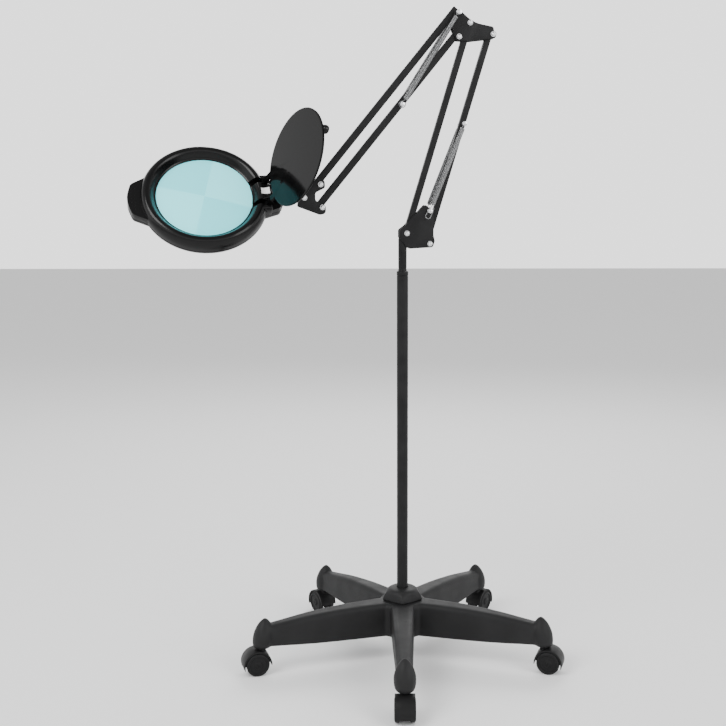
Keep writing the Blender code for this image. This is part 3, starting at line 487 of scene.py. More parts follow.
def rounded(corners, steps=8):
    """An outline from (x, y, radius) corners, each turned into an arc of its radius."""
    points = []
    count = len(corners)
    for index, (x, y, radius) in enumerate(corners):
        here = Vector((x, y))
        before = Vector(corners[index - 1][:2]) - here
        after = Vector(corners[(index + 1) % count][:2]) - here
        if radius <= 0.0:
            points.append((x, y))
            continue
        half = before.angle(after) / 2.0
        reach = min(radius / math.tan(half), 0.49 * before.length, 0.49 * after.length)
        true_radius = reach * math.tan(half)
        bisector = (before.normalized() + after.normalized()).normalized()
        centre = here + bisector * true_radius / math.sin(half)
        first = here + before.normalized() * reach - centre
        last = here + after.normalized() * reach - centre
        sweep = first.angle_signed(last)
        for step in range(steps + 1):
            spot = centre + Matrix.Rotation(-sweep * step / steps, 2) @ first
            points.append((spot.x, spot.y))
    return points


def shifted(corners, origin):
    return [(origin[0] + x * MM, origin[1] + z * MM, radius * MM) for x, z, radius in corners]


def smooth_between(stations, steps):
    """Catmull-Rom values between rows of numbers."""
    rows = [stations[0], *stations, stations[-1]]
    result = []
    for index in range(len(stations) - 1):
        p0, p1, p2, p3 = rows[index:index + 4]
        for step in range(steps):
            t = step / steps
            result.append([0.5 * (2 * b + (c - a) * t + (2 * a - 5 * b + 4 * c - d) * t * t
                                  + (3 * b - a - 3 * c + d) * t ** 3) for a, b, c,
                                  d in zip(p0, p1, p2, p3)])
    result.append(list(stations[-1]))
    return result


def wire_mesh(points, radius, sides=8):
    """A round wire along a list of points, with a frame carried along it so that it never twists."""
    count = len(points)
    tangents = [(points[min(i + 1, count - 1)] - points[max(i - 1, 0)]).normalized() for i in range(count)]
    normal = tangents[0].orthogonal().normalized()
    rings = []
    for point, tangent in zip(points, tangents):
        normal = (normal - tangent * normal.dot(tangent)).normalized()
        binormal = tangent.cross(normal)
        rings.append([point + normal * (radius * math.cos(TAU * k / sides))
                      + binormal * (radius * math.sin(TAU * k / sides)) for k in range(sides)])
    return loft(rings)


# ---- rolling base --------------------------------------------------------------
def leg_angles():
    return [FRONT_LEG_ANGLE + TAU * index / LEG_COUNT for index in range(LEG_COUNT)]


def leg_mesh():
    stations = [(0.010, 0.0500, 0.1176, 0.0488), (0.055, 0.0450, 0.1173, 0.0488),
                (0.120, 0.0400, 0.1155, 0.0491), (0.190, 0.0348, 0.1097, 0.0504),
                (0.250, 0.0310, 0.1010, 0.0536), (0.284, 0.0295, 0.0957, 0.0557)]
    rings = []
    for reach, width, top, bottom in smooth_between(stations, 4):
        half_w, half_h, middle = width / 2.0, (top - bottom) / 2.0, (top + bottom) / 2.0
        section = rounded([(-half_w, -half_h, 0.006), (half_w, -half_h, 0.006),
                           (half_w, half_h, 0.010), (-half_w, half_h, 0.010)], 6)
        rings.append([(reach, y, z + middle) for y, z in section])
    return loft(rings)


def cap_mesh():
    levels = [(SOCKET_BOTTOM, 0.2900, 0.0145, 0.0138), (0.0560, 0.2890, 0.0183, 0.0176),
              (0.0640, 0.2875, 0.0206, 0.0199), (0.0780, 0.2860, 0.0203, 0.0202),
              (0.0900, 0.2848, 0.0169, 0.0169), (0.0990, 0.2840, 0.0126, 0.0124),
              (0.1055, 0.2832, 0.0078, 0.0078), (0.1100, 0.2830, 0.0028, 0.0030)]
    rings = []
    for height, middle, radial, across in smooth_between(levels, 3):
        rings.append([(middle + radial * x, across * y, height) for x, y in circle((0.0, 0.0), 1.0, 36)])
    return loft(rings)


def build_star():
    hub = turned([(0.036, 0.0488), (0.045, 0.0495), (0.048, 0.0530), (0.048, 0.1110), (0.044, 0.1160),
                  (0.036, HUB_TOP - 0.0004)], 60)
    parts = []
    for angle in leg_angles():
        turn = Matrix.Rotation(angle, 4, "Z")
        parts += [moved(leg_mesh(), turn), moved(cap_mesh(), turn)]
    item = temporary(union(hub, *parts))
    remesh = item.modifiers.new("skin", "REMESH")
    remesh.mode = "VOXEL"
    remesh.voxel_size = STAR_VOXEL
    smooth = item.modifiers.new("soften", "SMOOTH")
    smooth.factor = 0.5
    smooth.iterations = 5
    star = evaluated(item)
    star.transform(POST_FRAME)
    piece("star_base_moulding", star, "base", "base", ["star_base"], 180.0)


def build_hub_cover():
    step = TAU / LEG_COUNT
    segments = 120

    def five_sided(radius, sharpness, height):
        ring = []
        for index in range(segments):
            angle = TAU * index / segments
            away = (angle + step / 2.0) % step - step / 2.0
            flat = math.cos(step / 2.0) / math.cos(step / 2.0 - abs(away))
            reach = radius * (1.0 - sharpness + sharpness * flat)
            turn = angle + FRONT_LEG_ANGLE
            ring.append((reach * math.cos(turn), reach * math.sin(turn), height))
        return ring

    bore = POST_RADIUS + GAP
    bottom = HUB_TOP + GAP
    outside = [(0.0404, 0.85, bottom), (0.0412, 0.85, bottom + 0.0008), (0.0411, 0.84, 0.1205),
               (0.0403, 0.80, 0.1235), (0.0388, 0.74, 0.1270), (0.0370, 0.62, 0.1302),
               (0.0350, 0.42, 0.1328), (0.0330, 0.20, 0.1346), (0.0312, 0.06, 0.1360),
               (0.0298, 0.0, 0.1374), (0.0280, 0.0, 0.1389), (0.0258, 0.0, 0.1401), (0.0232, 0.0, 0.1409),
               (0.0190, 0.0, 0.1415), (bore + 0.0006, 0.0, 0.1420), (bore, 0.0, 0.1414)]
    inside = [(bore, 0.0, 0.1398), (0.0180, 0.0, 0.1394), (0.0225, 0.0, 0.1386), (0.0265, 0.0, 0.1362),
              (0.0290, 0.10, 0.1335), (0.0328, 0.45, 0.1305), (0.0366, 0.75, 0.1250),
              (0.0390, 0.85, 0.1200), (0.0390, 0.85, bottom)]
    cover = loft([five_sided(*level) for level in outside + inside], True)
    cover.transform(POST_FRAME)
    piece("hub_cover_moulding", cover, "base", "base", ["hub_cover"], 45.0)


def build_post():
    outer, wall = POST_RADIUS, POST_WALL
    profile = [(outer - wall, POST_LOW), (outer, POST_LOW), (outer, POST_HIGH - 0.0006),
               (outer - 0.0006, POST_HIGH), (outer - wall, POST_HIGH)]
    piece("post_steel_tube", moved(turned(profile, 64, True), POST_FRAME), "paint", "base", ["post_tube"])
    low, high = (corner.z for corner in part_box("post_bush"))
    bore = SPIGOT_RADIUS + GAP
    flange = POST_HIGH + 0.0004
    profile = [(bore, low), (0.0092, low), (0.0092, flange), (0.0110, flange), (0.01125, flange + 0.0004),
               (0.01125, high - 0.0016), (0.0107, high - 0.0003), (0.0100, high), (bore, high)]
    piece("post_bush_moulding", moved(turned(profile, 64, True), POST_FRAME), "dark", "base", ["post_bush"])


def hood_mesh():
    axle = (AXLE_TRAIL, WHEEL_RADIUS)
    start, end = math.radians(-20.0), math.radians(185.0)
    steps = 44
    outer, inner = [], []
    for index in range(steps + 1):
        share = index / steps
        angle = start + (end - start) * share
        taper = min(1.0, 0.26 + 5.0 * min(share, 1.0 - share))
        low = HOOD_RADIUS - 0.0036 * taper
        outer.append((axle[0] + HOOD_RADIUS * math.cos(angle), axle[1] + HOOD_RADIUS * math.sin(angle)))
        inner.append((axle[0] + low * math.cos(angle), axle[1] + low * math.sin(angle)))
    half = CASTER_WIDTH / 2.0 - 0.0010
    band = prism(outer + inner[::-1], -half, half)
    web_half = CASTER_WIDTH / 2.0 - WHEEL_WIDTH - 0.0030
    sweep = circle(axle, HOOD_RADIUS - 0.0018, 28, math.radians(-10.0), math.radians(190.0))
    web = prism(sweep, -web_half, web_half)
    boss = rod(0.0060, -web_half - 0.0020, web_half + 0.0020, 32, (axle[0], 0.0, axle[1]), "Y")
    collar = turned([(0.0098, 0.0440), (0.0092, 0.0475), (0.0080, 0.0500),
                     (0.0080, SOCKET_BOTTOM - 0.0004)], 36)
    return bevelled(union(band, web, boss, collar), 0.0007, 2, 40.0)


def wheel_meshes(side):
    """The nylon wheel and its softer tread band."""
    outer_y, inner_y = CASTER_WIDTH / 2.0, CASTER_WIDTH / 2.0 - WHEEL_WIDTH
    rim = WHEEL_RADIUS - 0.0016
    disc = [(0.0028, inner_y), (rim, inner_y), (rim, outer_y - 0.0012), (rim - 0.0012, outer_y - 0.0002),
            (0.0180, outer_y), (0.0172, outer_y - 0.0006), (0.0168, outer_y - 0.0016),
            (0.0100, outer_y - 0.0018), (0.0080, outer_y - 0.0014), (0.0074, outer_y - 0.0004),
            (0.0066, outer_y), (0.0030, outer_y + 0.0001), (0.0028, outer_y - 0.0006)]
    tread = [(rim + 0.0001, inner_y + 0.0003), (WHEEL_RADIUS - 0.0006, inner_y + 0.0005),
             (WHEEL_RADIUS, inner_y + 0.0014), (WHEEL_RADIUS, outer_y - 0.0026),
             (WHEEL_RADIUS - 0.0006, outer_y - 0.0016), (rim + 0.0001, outer_y - 0.0013)]
    centre = (AXLE_TRAIL, 0.0, WHEEL_RADIUS)
    return [turned([(radius, side * height) for radius, height in profile], 72, True, centre, "Y")
            for profile in (disc, tread)]


def build_casters():
    hood = hood_mesh()
    pin = rod(0.0026, -CASTER_WIDTH / 2.0 + 0.0004, CASTER_WIDTH / 2.0 - 0.0004, 20,
              (AXLE_TRAIL, 0.0, WHEEL_RADIUS), "Y")
    for number, angle in enumerate(leg_angles(), 1):
        spot = Matrix.Translation((STEM_CIRCLE * math.cos(angle), STEM_CIRCLE * math.sin(angle), 0.0))
        caster = POST_FRAME @ spot @ Matrix.Rotation(angle, 4, "Z")
        body = f"caster_{number}"
        piece(f"caster_{number}_cover", moved(hood, caster), "dark", body, [f"caster_{number}_hood"])
        piece(f"caster_{number}_axle", moved(pin, caster), "dark", body)
        for name, side in (("left", -1.0), ("right", 1.0)):
            disc, tread = wheel_meshes(side)
            wheel_body = f"wheel_{number}_{name}"
            piece(f"caster_{number}_disc_{name}", moved(disc, caster), "wheel", wheel_body,
                  [f"caster_{number}_wheel_{name}"], 35.0)
            piece(f"caster_{number}_tread_{name}", moved(tread, caster), "tread", wheel_body, (), 35.0)


# ---- arm pieces ----------------------------------------------------------------
def add_plates(name, corners, origin, body, node):
    for side_name, side in (("near", -1), ("far", 1)):
        low, high = sorted((side * PLATE_INNER, side * PLATE_OUTER))
        sheet = prism(rounded(shifted(corners, origin), 10), low, high)
        piece(f"{name}_{side_name}", moved(bevelled(sheet, 0.0005, 2, 50.0), ARM_FRAME), "paint", body,
              [f"{node}_{side_name}"], 30.0)


def add_bolt(name, spot, body, node, reach=PLATE_OUTER + GAP):
    """A domed socket screw on the near side, washers under head and nut, and a lock nut behind."""
    washer = 0.0009
    y0 = reach + washer
    height = 0.0034
    dome = [(0.0008, -y0 - height * 0.55), (0.0019, -y0 - height * 0.55), (0.0021, -y0 - height),
            (0.0028, -y0 - height * 0.96), (0.0037, -y0 - height * 0.78), (0.0042, -y0 - height * 0.42),
            (0.0043, -y0), (BOLT_RADIUS, -y0), (BOLT_RADIUS, y0 + 0.0046), (0.0024, y0 + 0.0052)]
    centre = (spot.x, 0.0, spot.y)
    screw = turned(dome, 36, False, centre, "Y")
    nut = prism(circle(spot, 0.0049, 6, 0.3), y0, y0 + 0.0030)
    collar = turned([(0.0030, y0 + 0.0030), (0.0043, y0 + 0.0030), (0.0041, y0 + 0.0041),
                     (0.0034, y0 + 0.0045), (0.0030, y0 + 0.0045)], 32, True, centre, "Y")
    rings = [turned([(BOLT_RADIUS, side * reach), (0.0050, side * reach), (0.0050, side * (y0 - 0.0001)),
                     (BOLT_RADIUS, side * (y0 - 0.0001))], 36, True, centre, "Y") for side in (-1, 1)]
    spacers = [turned([(BOLT_RADIUS, side * 0.0063), (0.0050, side * 0.0063), (0.0050, side * 0.0070),
                       (BOLT_RADIUS, side * 0.0070)], 28, True, centre, "Y") for side in (-1, 1)]
    mesh_data = joined(screw, bevelled(nut, 0.0003, 1), collar, *rings, *spacers)
    piece(name, moved(mesh_data, ARM_FRAME), "zinc", body, [node], 35.0)


def pin_end(radius):
    """The outer part of a pin's profile, from the spring's eye to the tip."""
    return [(radius, 0.0212), (radius + 0.0018, 0.0214), (radius + 0.0020, 0.0226),
            (radius + 0.0014, 0.0238), (radius * 0.6, PIN_END)]


def add_pin(name, spot, body, node, radius=PIN_RADIUS):
    """A cross pin with a groove, a collar and a domed head outside each spring's eye."""
    half = [(radius, 0.0), (radius, 0.0160), (radius + 0.0014, 0.0162), (radius + 0.0014, 0.0172),
            (radius, 0.0174), *pin_end(radius)]
    profile = [(r, -y) for r, y in half[::-1]] + half[1:]
    mesh_data = turned(profile, 28, False, (spot.x, 0.0, spot.y), "Y")
    piece(name, moved(mesh_data, ARM_FRAME), "zinc", body, [node], 40.0)


def add_studs(name, spot, body, node):
    """A short headed stud through each plate, for the springs' long loops."""
    profile = [(PIN_RADIUS, 0.0074), (PIN_RADIUS, 0.0097), (PIN_RADIUS + 0.0012, 0.0099),
               (PIN_RADIUS + 0.0012, 0.0108), (PIN_RADIUS, 0.0110), *pin_end(PIN_RADIUS)]
    for side_name, side in (("near", -1), ("far", 1)):
        stud = turned([(r, side * y) for r, y in profile], 28, False, (spot.x, 0.0, spot.y), "Y")
        piece(f"{name}_{side_name}", moved(stud, ARM_FRAME), "zinc", body, [f"{node}_{side_name}"], 40.0)


def bar_mesh(start, direction, width, offset):
    """A square steel tube with rounded corners and open ends, and a lug at each pivot."""
    side = Vector((-direction.y, direction.x))

    def at(along, across, y):
        spot = start + direction * along + side * across
        return (spot.x, y, spot.y)

    def section(along, inset, radius):
        half_w, half_d = width / 2.0 - inset, BAR_DEPTH / 2.0 - inset
        outline = rounded([(-half_w, -half_d, radius), (half_w, -half_d, radius),
                           (half_w, half_d, radius), (-half_w, half_d, radius)], 5)
        return [at(along, offset + across, y) for across, y in outline]

    low, high = -BAR_OVERRUN, ARM_LENGTH + BAR_OVERRUN
    edge = 0.0003
    rows = [section(low, edge, 0.0013), section(low + edge, 0.0, 0.0016), section(high - edge, 0.0, 0.0016),
            section(high, edge, 0.0013), section(high, BAR_WALL, 0.0006), section(low, BAR_WALL, 0.0006)]
    tube = loft(rows, True)
    if not offset:
        return tube
    lugs = []
    sign = math.copysign(1.0, offset)
    begin = math.atan2(direction.y, direction.x) + (math.pi if sign > 0.0 else 0.0)
    for along in (0.0, ARM_LENGTH):
        spot = start + direction * along
        outline = circle(spot, LUG_RADIUS, 20, begin, math.pi)
        inward = offset - sign * (width / 2.0 - BAR_WALL * 0.5)
        for step in (LUG_RADIUS * sign, -LUG_RADIUS * sign):
            corner = spot + direction * step + side * inward
            outline.append((corner.x, corner.y))
        lugs.append(bevelled(prism(outline, -BAR_DEPTH / 2.0 + LUG_STEP, BAR_DEPTH / 2.0 - LUG_STEP),
                             0.0003, 1, 50.0))
    return joined(tube, *lugs)


def add_bar(name, start, direction, width, offset, body, node):
    piece(name, moved(bar_mesh(start, direction, width, offset), ARM_FRAME), "paint", body, [node], 30.0)


def loop_points(centre, radius, segments, start_degrees, sweep_degrees):
    start, sweep = math.radians(start_degrees), math.radians(sweep_degrees)
    return [Vector((x, 0.0, z)) for x, z in circle((centre, 0.0), radius, segments, start, sweep)]


def coil_points(length, start_radius, end_loop, coil_low, coil_high):
    """A spring's wire in its own frame, X along it, from the loop at x = 0 to the loop by x = length.

    end_loop is (radius, nearer centre, farther centre), measured from x = length.
    """
    path = loop_points(0.0, start_radius, 20, 60.0, 270.0)
    pitch = 2.0 * WIRE_RADIUS * 1.02
    turns = round((coil_high - coil_low) / pitch)
    steps = turns * TURN_STEPS
    taper = TURN_STEPS * 0.75
    for index in range(steps + 1):
        share = index / steps
        grow = min(1.0, index / taper, (steps - index) / taper)
        reach = SPRING_RADIUS * (0.15 + 0.85 * grow) - WIRE_RADIUS
        angle = TAU * index / TURN_STEPS
        x = coil_low + (coil_high - coil_low) * share
        path.append(Vector((x, reach * math.cos(angle), reach * math.sin(angle))))
    radius, near, far = end_loop
    path += loop_points(length + far, radius, 14, -90.0, 180.0)
    path += loop_points(length + near, radius, 10, 90.0, 60.0)
    return path


def spring_frame(start, end):
    direction = (end - start).normalized()
    along = Vector((direction.x, 0.0, direction.y))
    up = Vector((-direction.y, 0.0, direction.x))
    matrix = Matrix((along, up.cross(along), up)).transposed().to_4x4()
    return Matrix.Translation((start.x, 0.0, start.y)) @ matrix


def spring_post_spot():
    near, far = box_middle("lower_spring_post_near"), box_middle("lower_spring_post_far")
    return in_plane((near + far) / 2.0)


def build_bracket():
    corners = [(35.6, 55.0, 3.0), (52.4, 40.3, 4.0), (52.0, -4.0, 6.0), (54.6, -15.0, 5.0),
               (50.5, -27.0, 6.0), (5.0, -29.5, 4.0), (-1.0, -25.5, 4.0), (-14.6, -8.0, 6.0),
               (-14.6, 7.0, 5.0), (-3.0, 15.5, 25.0), (11.5, 33.0, 20.0), (19.0, 37.5, 5.0)]
    add_plates("bracket_side", corners, P1, "arm_bracket", "bracket_plate")
    low, high = (corner.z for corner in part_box("swivel_spigot"))
    spigot = turned([(SPIGOT_RADIUS - 0.0006, low), (SPIGOT_RADIUS, low + 0.0008), (SPIGOT_RADIUS, 0.7830),
                     (SPIGOT_RADIUS - 0.0004, 0.7836), (SPIGOT_RADIUS - 0.0004, 0.7850),
                     (SPIGOT_RADIUS, 0.7856), (SPIGOT_RADIUS, high - 0.0008),
                     (SPIGOT_RADIUS - 0.0008, high)], 56)
    keep = PLATE_INNER - GAP
    flats = [box((-0.02, keep, 0.8150), (0.02, 0.02, 0.90)),
             box((-0.02, -0.02, 0.8150), (0.02, -keep, 0.90))]
    piece("swivel_spigot_steel", moved(cut(spigot, *flats), POST_FRAME @ Matrix.Rotation(ARM_YAW, 4, "Z")),
          "paint",
          "arm_bracket", ["swivel_spigot"])
    add_bolt("bracket_screw_front", P1, "arm_bracket", "bracket_bolt_front")
    add_bolt("bracket_screw_rear", P2, "arm_bracket", "bracket_bolt_rear")
    add_studs("spring_stud", spring_post_spot(), "arm_bracket", "lower_spring_post")


def build_lower_arm():
    add_bar("front_bar_tube", P1, LOWER_DIRECTION, LOWER_BAR_WIDTH, 0.0, "lower_front", "lower_front_bar")
    offset = LOWER_BAR_WIDTH / 2.0 + LUG_STEP
    add_bar("rear_bar_tube", P2, LOWER_DIRECTION, LOWER_BAR_WIDTH, offset, "lower_rear", "lower_rear_bar")
    pin = in_plane(box_middle("lower_spring_pin"))
    post = spring_post_spot()
    add_pin("spring_pin_lower", pin, "lower_rear", "lower_spring_pin")
    length = (post - pin).length
    path = coil_points(length, 0.0042, (0.0052, -0.0045, 0.0100), 0.0085, length - 0.0125)
    wire = wire_mesh(path, WIRE_RADIUS)
    for name, side in (("near", -1), ("far", 1)):
        place = ARM_FRAME @ Matrix.Translation((0.0, side * SPRING_Y, 0.0)) @ spring_frame(pin, post)
        piece(f"lower_coil_{name}", moved(wire, place), "steel", "lower_springs", [f"lower_spring_{name}"],
              60.0)


def build_elbow():
    corners = [(-31.5, 21.5, 5.0), (-20.5, 23.0, 4.0), (6.0, 0.5, 60.0), (45.5, -6.4, 6.0),
               (46.6, -14.0, 2.0), (51.2, -17.0, 5.0), (50.2, -27.0, 5.0), (39.0, -28.8, 8.0),
               (0.0, -33.8, 20.0), (-27.0, -33.0, 6.0), (-34.4, -10.0, 20.0)]
    add_plates("elbow_side", corners, B, "elbow", "elbow_plate")
    for name, spot in (("b", B), ("c", C), ("d", D)):
        add_bolt(f"elbow_screw_{name}", spot, "elbow", f"elbow_bolt_{name}")
    add_pin("elbow_screw_a", A, "elbow", "elbow_bolt_a", BOLT_RADIUS)


def build_upper_arm():
    offset = -(UPPER_BAR_WIDTH / 2.0 + LUG_STEP)
    add_bar("top_bar_tube", A, UPPER_DIRECTION, UPPER_BAR_WIDTH, offset, "upper_top", "upper_top_bar")
    add_bar("bottom_bar_tube", C, UPPER_DIRECTION, UPPER_BAR_WIDTH, offset, "upper_lower",
            "upper_lower_bar")
    pin = in_plane(box_middle("upper_spring_pin"))
    add_pin("spring_pin_upper", pin, "upper_lower", "upper_spring_pin")
    length = (pin - A).length
    path = coil_points(length, 0.0046, (0.0062, 0.0, 0.0), 0.0090, length - 0.0100)
    wire = wire_mesh(path, WIRE_RADIUS)
    for name, side in (("near", -1), ("far", 1)):
        place = ARM_FRAME @ Matrix.Translation((0.0, side * SPRING_Y, 0.0)) @ spring_frame(A, pin)
        nodes = [f"upper_spring_{name}", f"upper_spring_hook_{name}"]
        coil = piece(f"upper_coil_{name}", moved(wire, place), "steel", "", nodes, 60.0, False)
        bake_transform(coil)


def build_head_bracket():
    corners = [(-6.5, 12.0, 6.0), (7.5, 7.5, 6.5), (8.0, -6.5, 5.0), (-10.5, -15.5, 6.0),
               (-10.5, -30.0, 6.0), (9.5, -40.0, 6.5), (9.0, -55.0, 7.0), (-2.0, -57.0, 4.0),
               (-44.0, -41.5, 4.0), (-40.5, -21.0, 8.0)]
    add_plates("head_side", corners, U, "head_bracket", "head_plate")
    for name, spot in (("upper", U), ("lower", L), ("tilt", T)):
        add_bolt(f"head_screw_{name}", spot, "head_bracket", f"head_bolt_{name}")
    half = PLATE_INNER - 2.0 * GAP
    knuckle = prism(circle((0.0, 0.0), 0.0088, 40), -half, half)
    arm = box((-0.0240, -half, -0.0062), (-0.0020, half, 0.0112))
    turn = TILT_FRAME.inverted() @ STEM_FRAME
    collar = moved(box((-0.0330, -half, -0.0080), (-0.0215, half, 0.0066)), turn)
    tongue = moved(box((-0.0400, -0.0055, -0.0080), (-0.0250, 0.0055, -0.0052)), turn)
    bore = moved(rod(0.0046, -0.0500, -0.0160, 36, axis="X"), turn)
    block = cut(union(knuckle, arm, collar, tongue), bore)
    piece("tilt_block_casting", moved(bevelled(block, 0.0008, 2), TILT_FRAME), "dark", "tilt",
          ["tilt_block"])
    end = -NECK_TO_TILT - 0.0190
    radius, groove = ROLL_STEM_RADIUS, 0.0038
    stem = turned([(0.0036, end), (radius, end + 0.0007), (radius, -0.0362), (groove, -0.0358),
                   (groove, -0.0348), (radius, -0.0344), (radius, -0.0163)], 40, axis="X")
    piece("roll_stem_rod", moved(stem, STEM_FRAME), "steel", "tilt", ["roll_stem"])


# ---- magnifier head ------------------------------------------------------------
def neck_outline():
    return rounded([(0.0900, -0.0440, 0.0), (0.1080, -0.0400, 0.020), (NECK_END, -0.0300, 0.009),
                    (NECK_END, 0.0300, 0.009), (0.1080, 0.0400, 0.020), (0.0900, 0.0440, 0.0)], 10)


def neck_hollow(start):
    end = NECK_END - 0.0026
    return rounded([(start, -0.0350, 0.0), (end, -0.0272, 0.006), (end, 0.0272, 0.006),
                    (start, 0.0350, 0.0)], 6)


def grip_outline():
    return rounded([(-0.0950, 0.0540, 0.0), (-0.1320, 0.0345, 0.014), (-0.1420, 0.0, 0.060),
                    (-0.1320, -0.0345, 0.014), (-0.0950, -0.0540, 0.0)], 12)


def build_upper_shell():
    low = SEAM_HEIGHT + GAP
    crown = [(0.1162, low), (0.1170, low + 0.0008), (0.1170, -0.0030), (0.1167, 0.0008), (0.1159, 0.0043),
             (0.1147, 0.0078), (0.1130, 0.0108), (0.1109, 0.0134), (0.1085, 0.0151), (0.1060, 0.0159),
             (0.1040, 0.0160), (0.1020, 0.0155), (0.1000, 0.0143), (0.0978, 0.0121), (0.0955, 0.0092),
             (0.0934, 0.0062), (0.0918, 0.0040), (0.0907, 0.0030), (0.0895, 0.0024), (0.0884, 0.0020),
             (0.0880, 0.0015), (0.0880, 0.0004)]
    inside = [(0.0905, 0.0004), (0.0945, 0.0040), (0.0980, 0.0090), (0.1015, 0.0125), (0.1045, 0.0136),
              (0.1080, 0.0126), (0.1110, 0.0088), (0.1132, 0.0035), (0.1143, -0.0030), (0.1143, low)]
    ring = turned(crown + inside, RING_SEGMENTS, True)
    floor_top = 0.0006
    lens_well = rod(0.0935, -0.05, 0.05, RING_SEGMENTS)
    neck = prism(neck_outline(), low, floor_top, plane="XY")
    island = bevelled(box((0.1000, -0.0170, low), (NECK_END, 0.0170, 0.0140)), 0.0030, 4)
    cheeks = [bevelled(box((0.1010, side * 0.0350 - 0.0037, low), (0.1215, side * 0.0350 + 0.0037, 0.0125)),
                       0.0022, 3)
              for side in (-1, 1)]
    neck = cut(union(neck, island, *cheeks), lens_well)
    grip = cut(prism(grip_outline(), low, 0.0030, plane="XY"), rod(0.1150, -0.05, 0.05, RING_SEGMENTS))
    grip = bevelled(grip, 0.0028, 4, 50.0)
    body = union(ring, neck, grip)
    slots = [box((0.0800, side * HINGE_ARM_Y - HINGE_ARM_HALF - 0.0007, floor_top),
                 (0.1230, side * HINGE_ARM_Y + HINGE_ARM_HALF + 0.0007, 0.03)) for side in (-1, 1)]
    hollow = prism(neck_hollow(0.1000), low - 0.001, -0.0024, plane="XY")
    stem_bore = rod(0.0046, 0.1200, 0.1500, 36, (0.0, 0.0, ROLL_AXIS_HEIGHT), "X")
    well = box((SWITCH_X - 0.0090, -0.0076, 0.0092), (SWITCH_X + 0.0090, 0.0076, 0.03))
    dimple = [turned([(0.0003, -0.0012), (0.0012, -0.0009), (0.0019, 0.0002), (0.0020, 0.0012)], 16, False,
                     (-0.1262 - 0.0062 * row, 0.0078 * column, 0.0034))
              for row in range(2) for column in range(-3, 4)]
    body = cut(body, *slots, hollow, stem_bore, well, *dimple)
    piece("upper_shell_moulding", moved(body, HEAD_FRAME), "gloss", "head", ["head_upper_shell"], 38.0)


def build_lower_shell():
    top = SEAM_HEIGHT - GAP
    profile = [(0.1120, top), (0.1160, top), (0.1168, top - 0.0007), (0.1167, -0.0125), (0.1160, -0.0148),
               (0.1150, -0.0168), (0.1136, -0.0186), (0.1115, -0.0200), (0.1092, -0.0207),
               (0.1086, -0.0206), (0.1086, -0.0185), (0.1098, -0.0168), (0.1112, -0.0135)]
    ring = turned(profile, RING_SEGMENTS, True)
    neck = bevelled(prism(neck_outline(), -0.0200, top, plane="XY"), 0.0020, 3, 50.0)
    grip = bevelled(prism(grip_outline(), -0.0165, top, plane="XY"), 0.0020, 3, 50.0)
    ring_well = rod(0.1110, -0.05, 0.05, RING_SEGMENTS)
    neck, grip = cut(neck, ring_well), cut(grip, ring_well)
    hollow = prism(neck_hollow(0.1160), -0.0175, top + 0.002, plane="XY")
    body = cut(union(ring, neck, grip), hollow, rod(0.0033, -0.03, 0.0, 24, (KNOB_X, 0.0, 0.0)))
    piece("lower_shell_moulding", moved(body, HEAD_FRAME), "gloss", "head", ["head_lower_shell"], 38.0)


def build_lens_and_lamps():
    steps = 16
    crown, rim = LENS_CROWN, LENS_RADIUS
    upper = [(rim * math.cos(a), crown * math.sin(a))
             for a in (math.pi / 2.0 * i / steps for i in range(steps))]
    lower = [(radius, -0.0042 - height) for radius, height in upper]
    profile = [(0.0002, -0.0042 - crown)] + lower[::-1] + upper + [(0.0002, crown)]
    piece("lens_disc", moved(turned(profile, 128), HEAD_FRAME), "lens", "head", ["lens"], 50.0)
    board = turned([(0.0955, -0.0135), (0.1075, -0.0135), (0.1075, -0.0120), (0.0955, -0.0120)], 96, True)
    piece("lamp_board_ring", moved(board, HEAD_FRAME), "board", "head", ["led_board"])
    chip = bevelled(box((0.1000, -0.0014, -0.0146), (0.1035, 0.0014, -0.0136)), 0.0002, 1)
    chips = joined(*[moved(chip, Matrix.Rotation(TAU * index / 60, 4, "Z")) for index in range(60)])
    piece("lamp_chips", moved(chips, HEAD_FRAME), "white", "head")
    profile = [(0.0882, -0.0047), (0.0913, -0.0047), (0.0913, -0.0182), (0.1082, -0.0182),
               (0.1082, -0.0196), (0.1076, -0.0202), (0.0890, -0.0202), (0.0882, -0.0194)]
    piece("diffuser_ring", moved(turned(profile, RING_SEGMENTS, True), HEAD_FRAME), "diffuser", "head",
          ["diffuser"])
    pin = rod(0.0020, -0.0343, 0.0343, 28, (HINGE_X, 0.0, HINGE_Z), "Y")
    piece("hinge_pin_rod", moved(bevelled(pin, 0.0003, 1), HEAD_FRAME), "zinc", "head", ["cover_hinge_pin"])


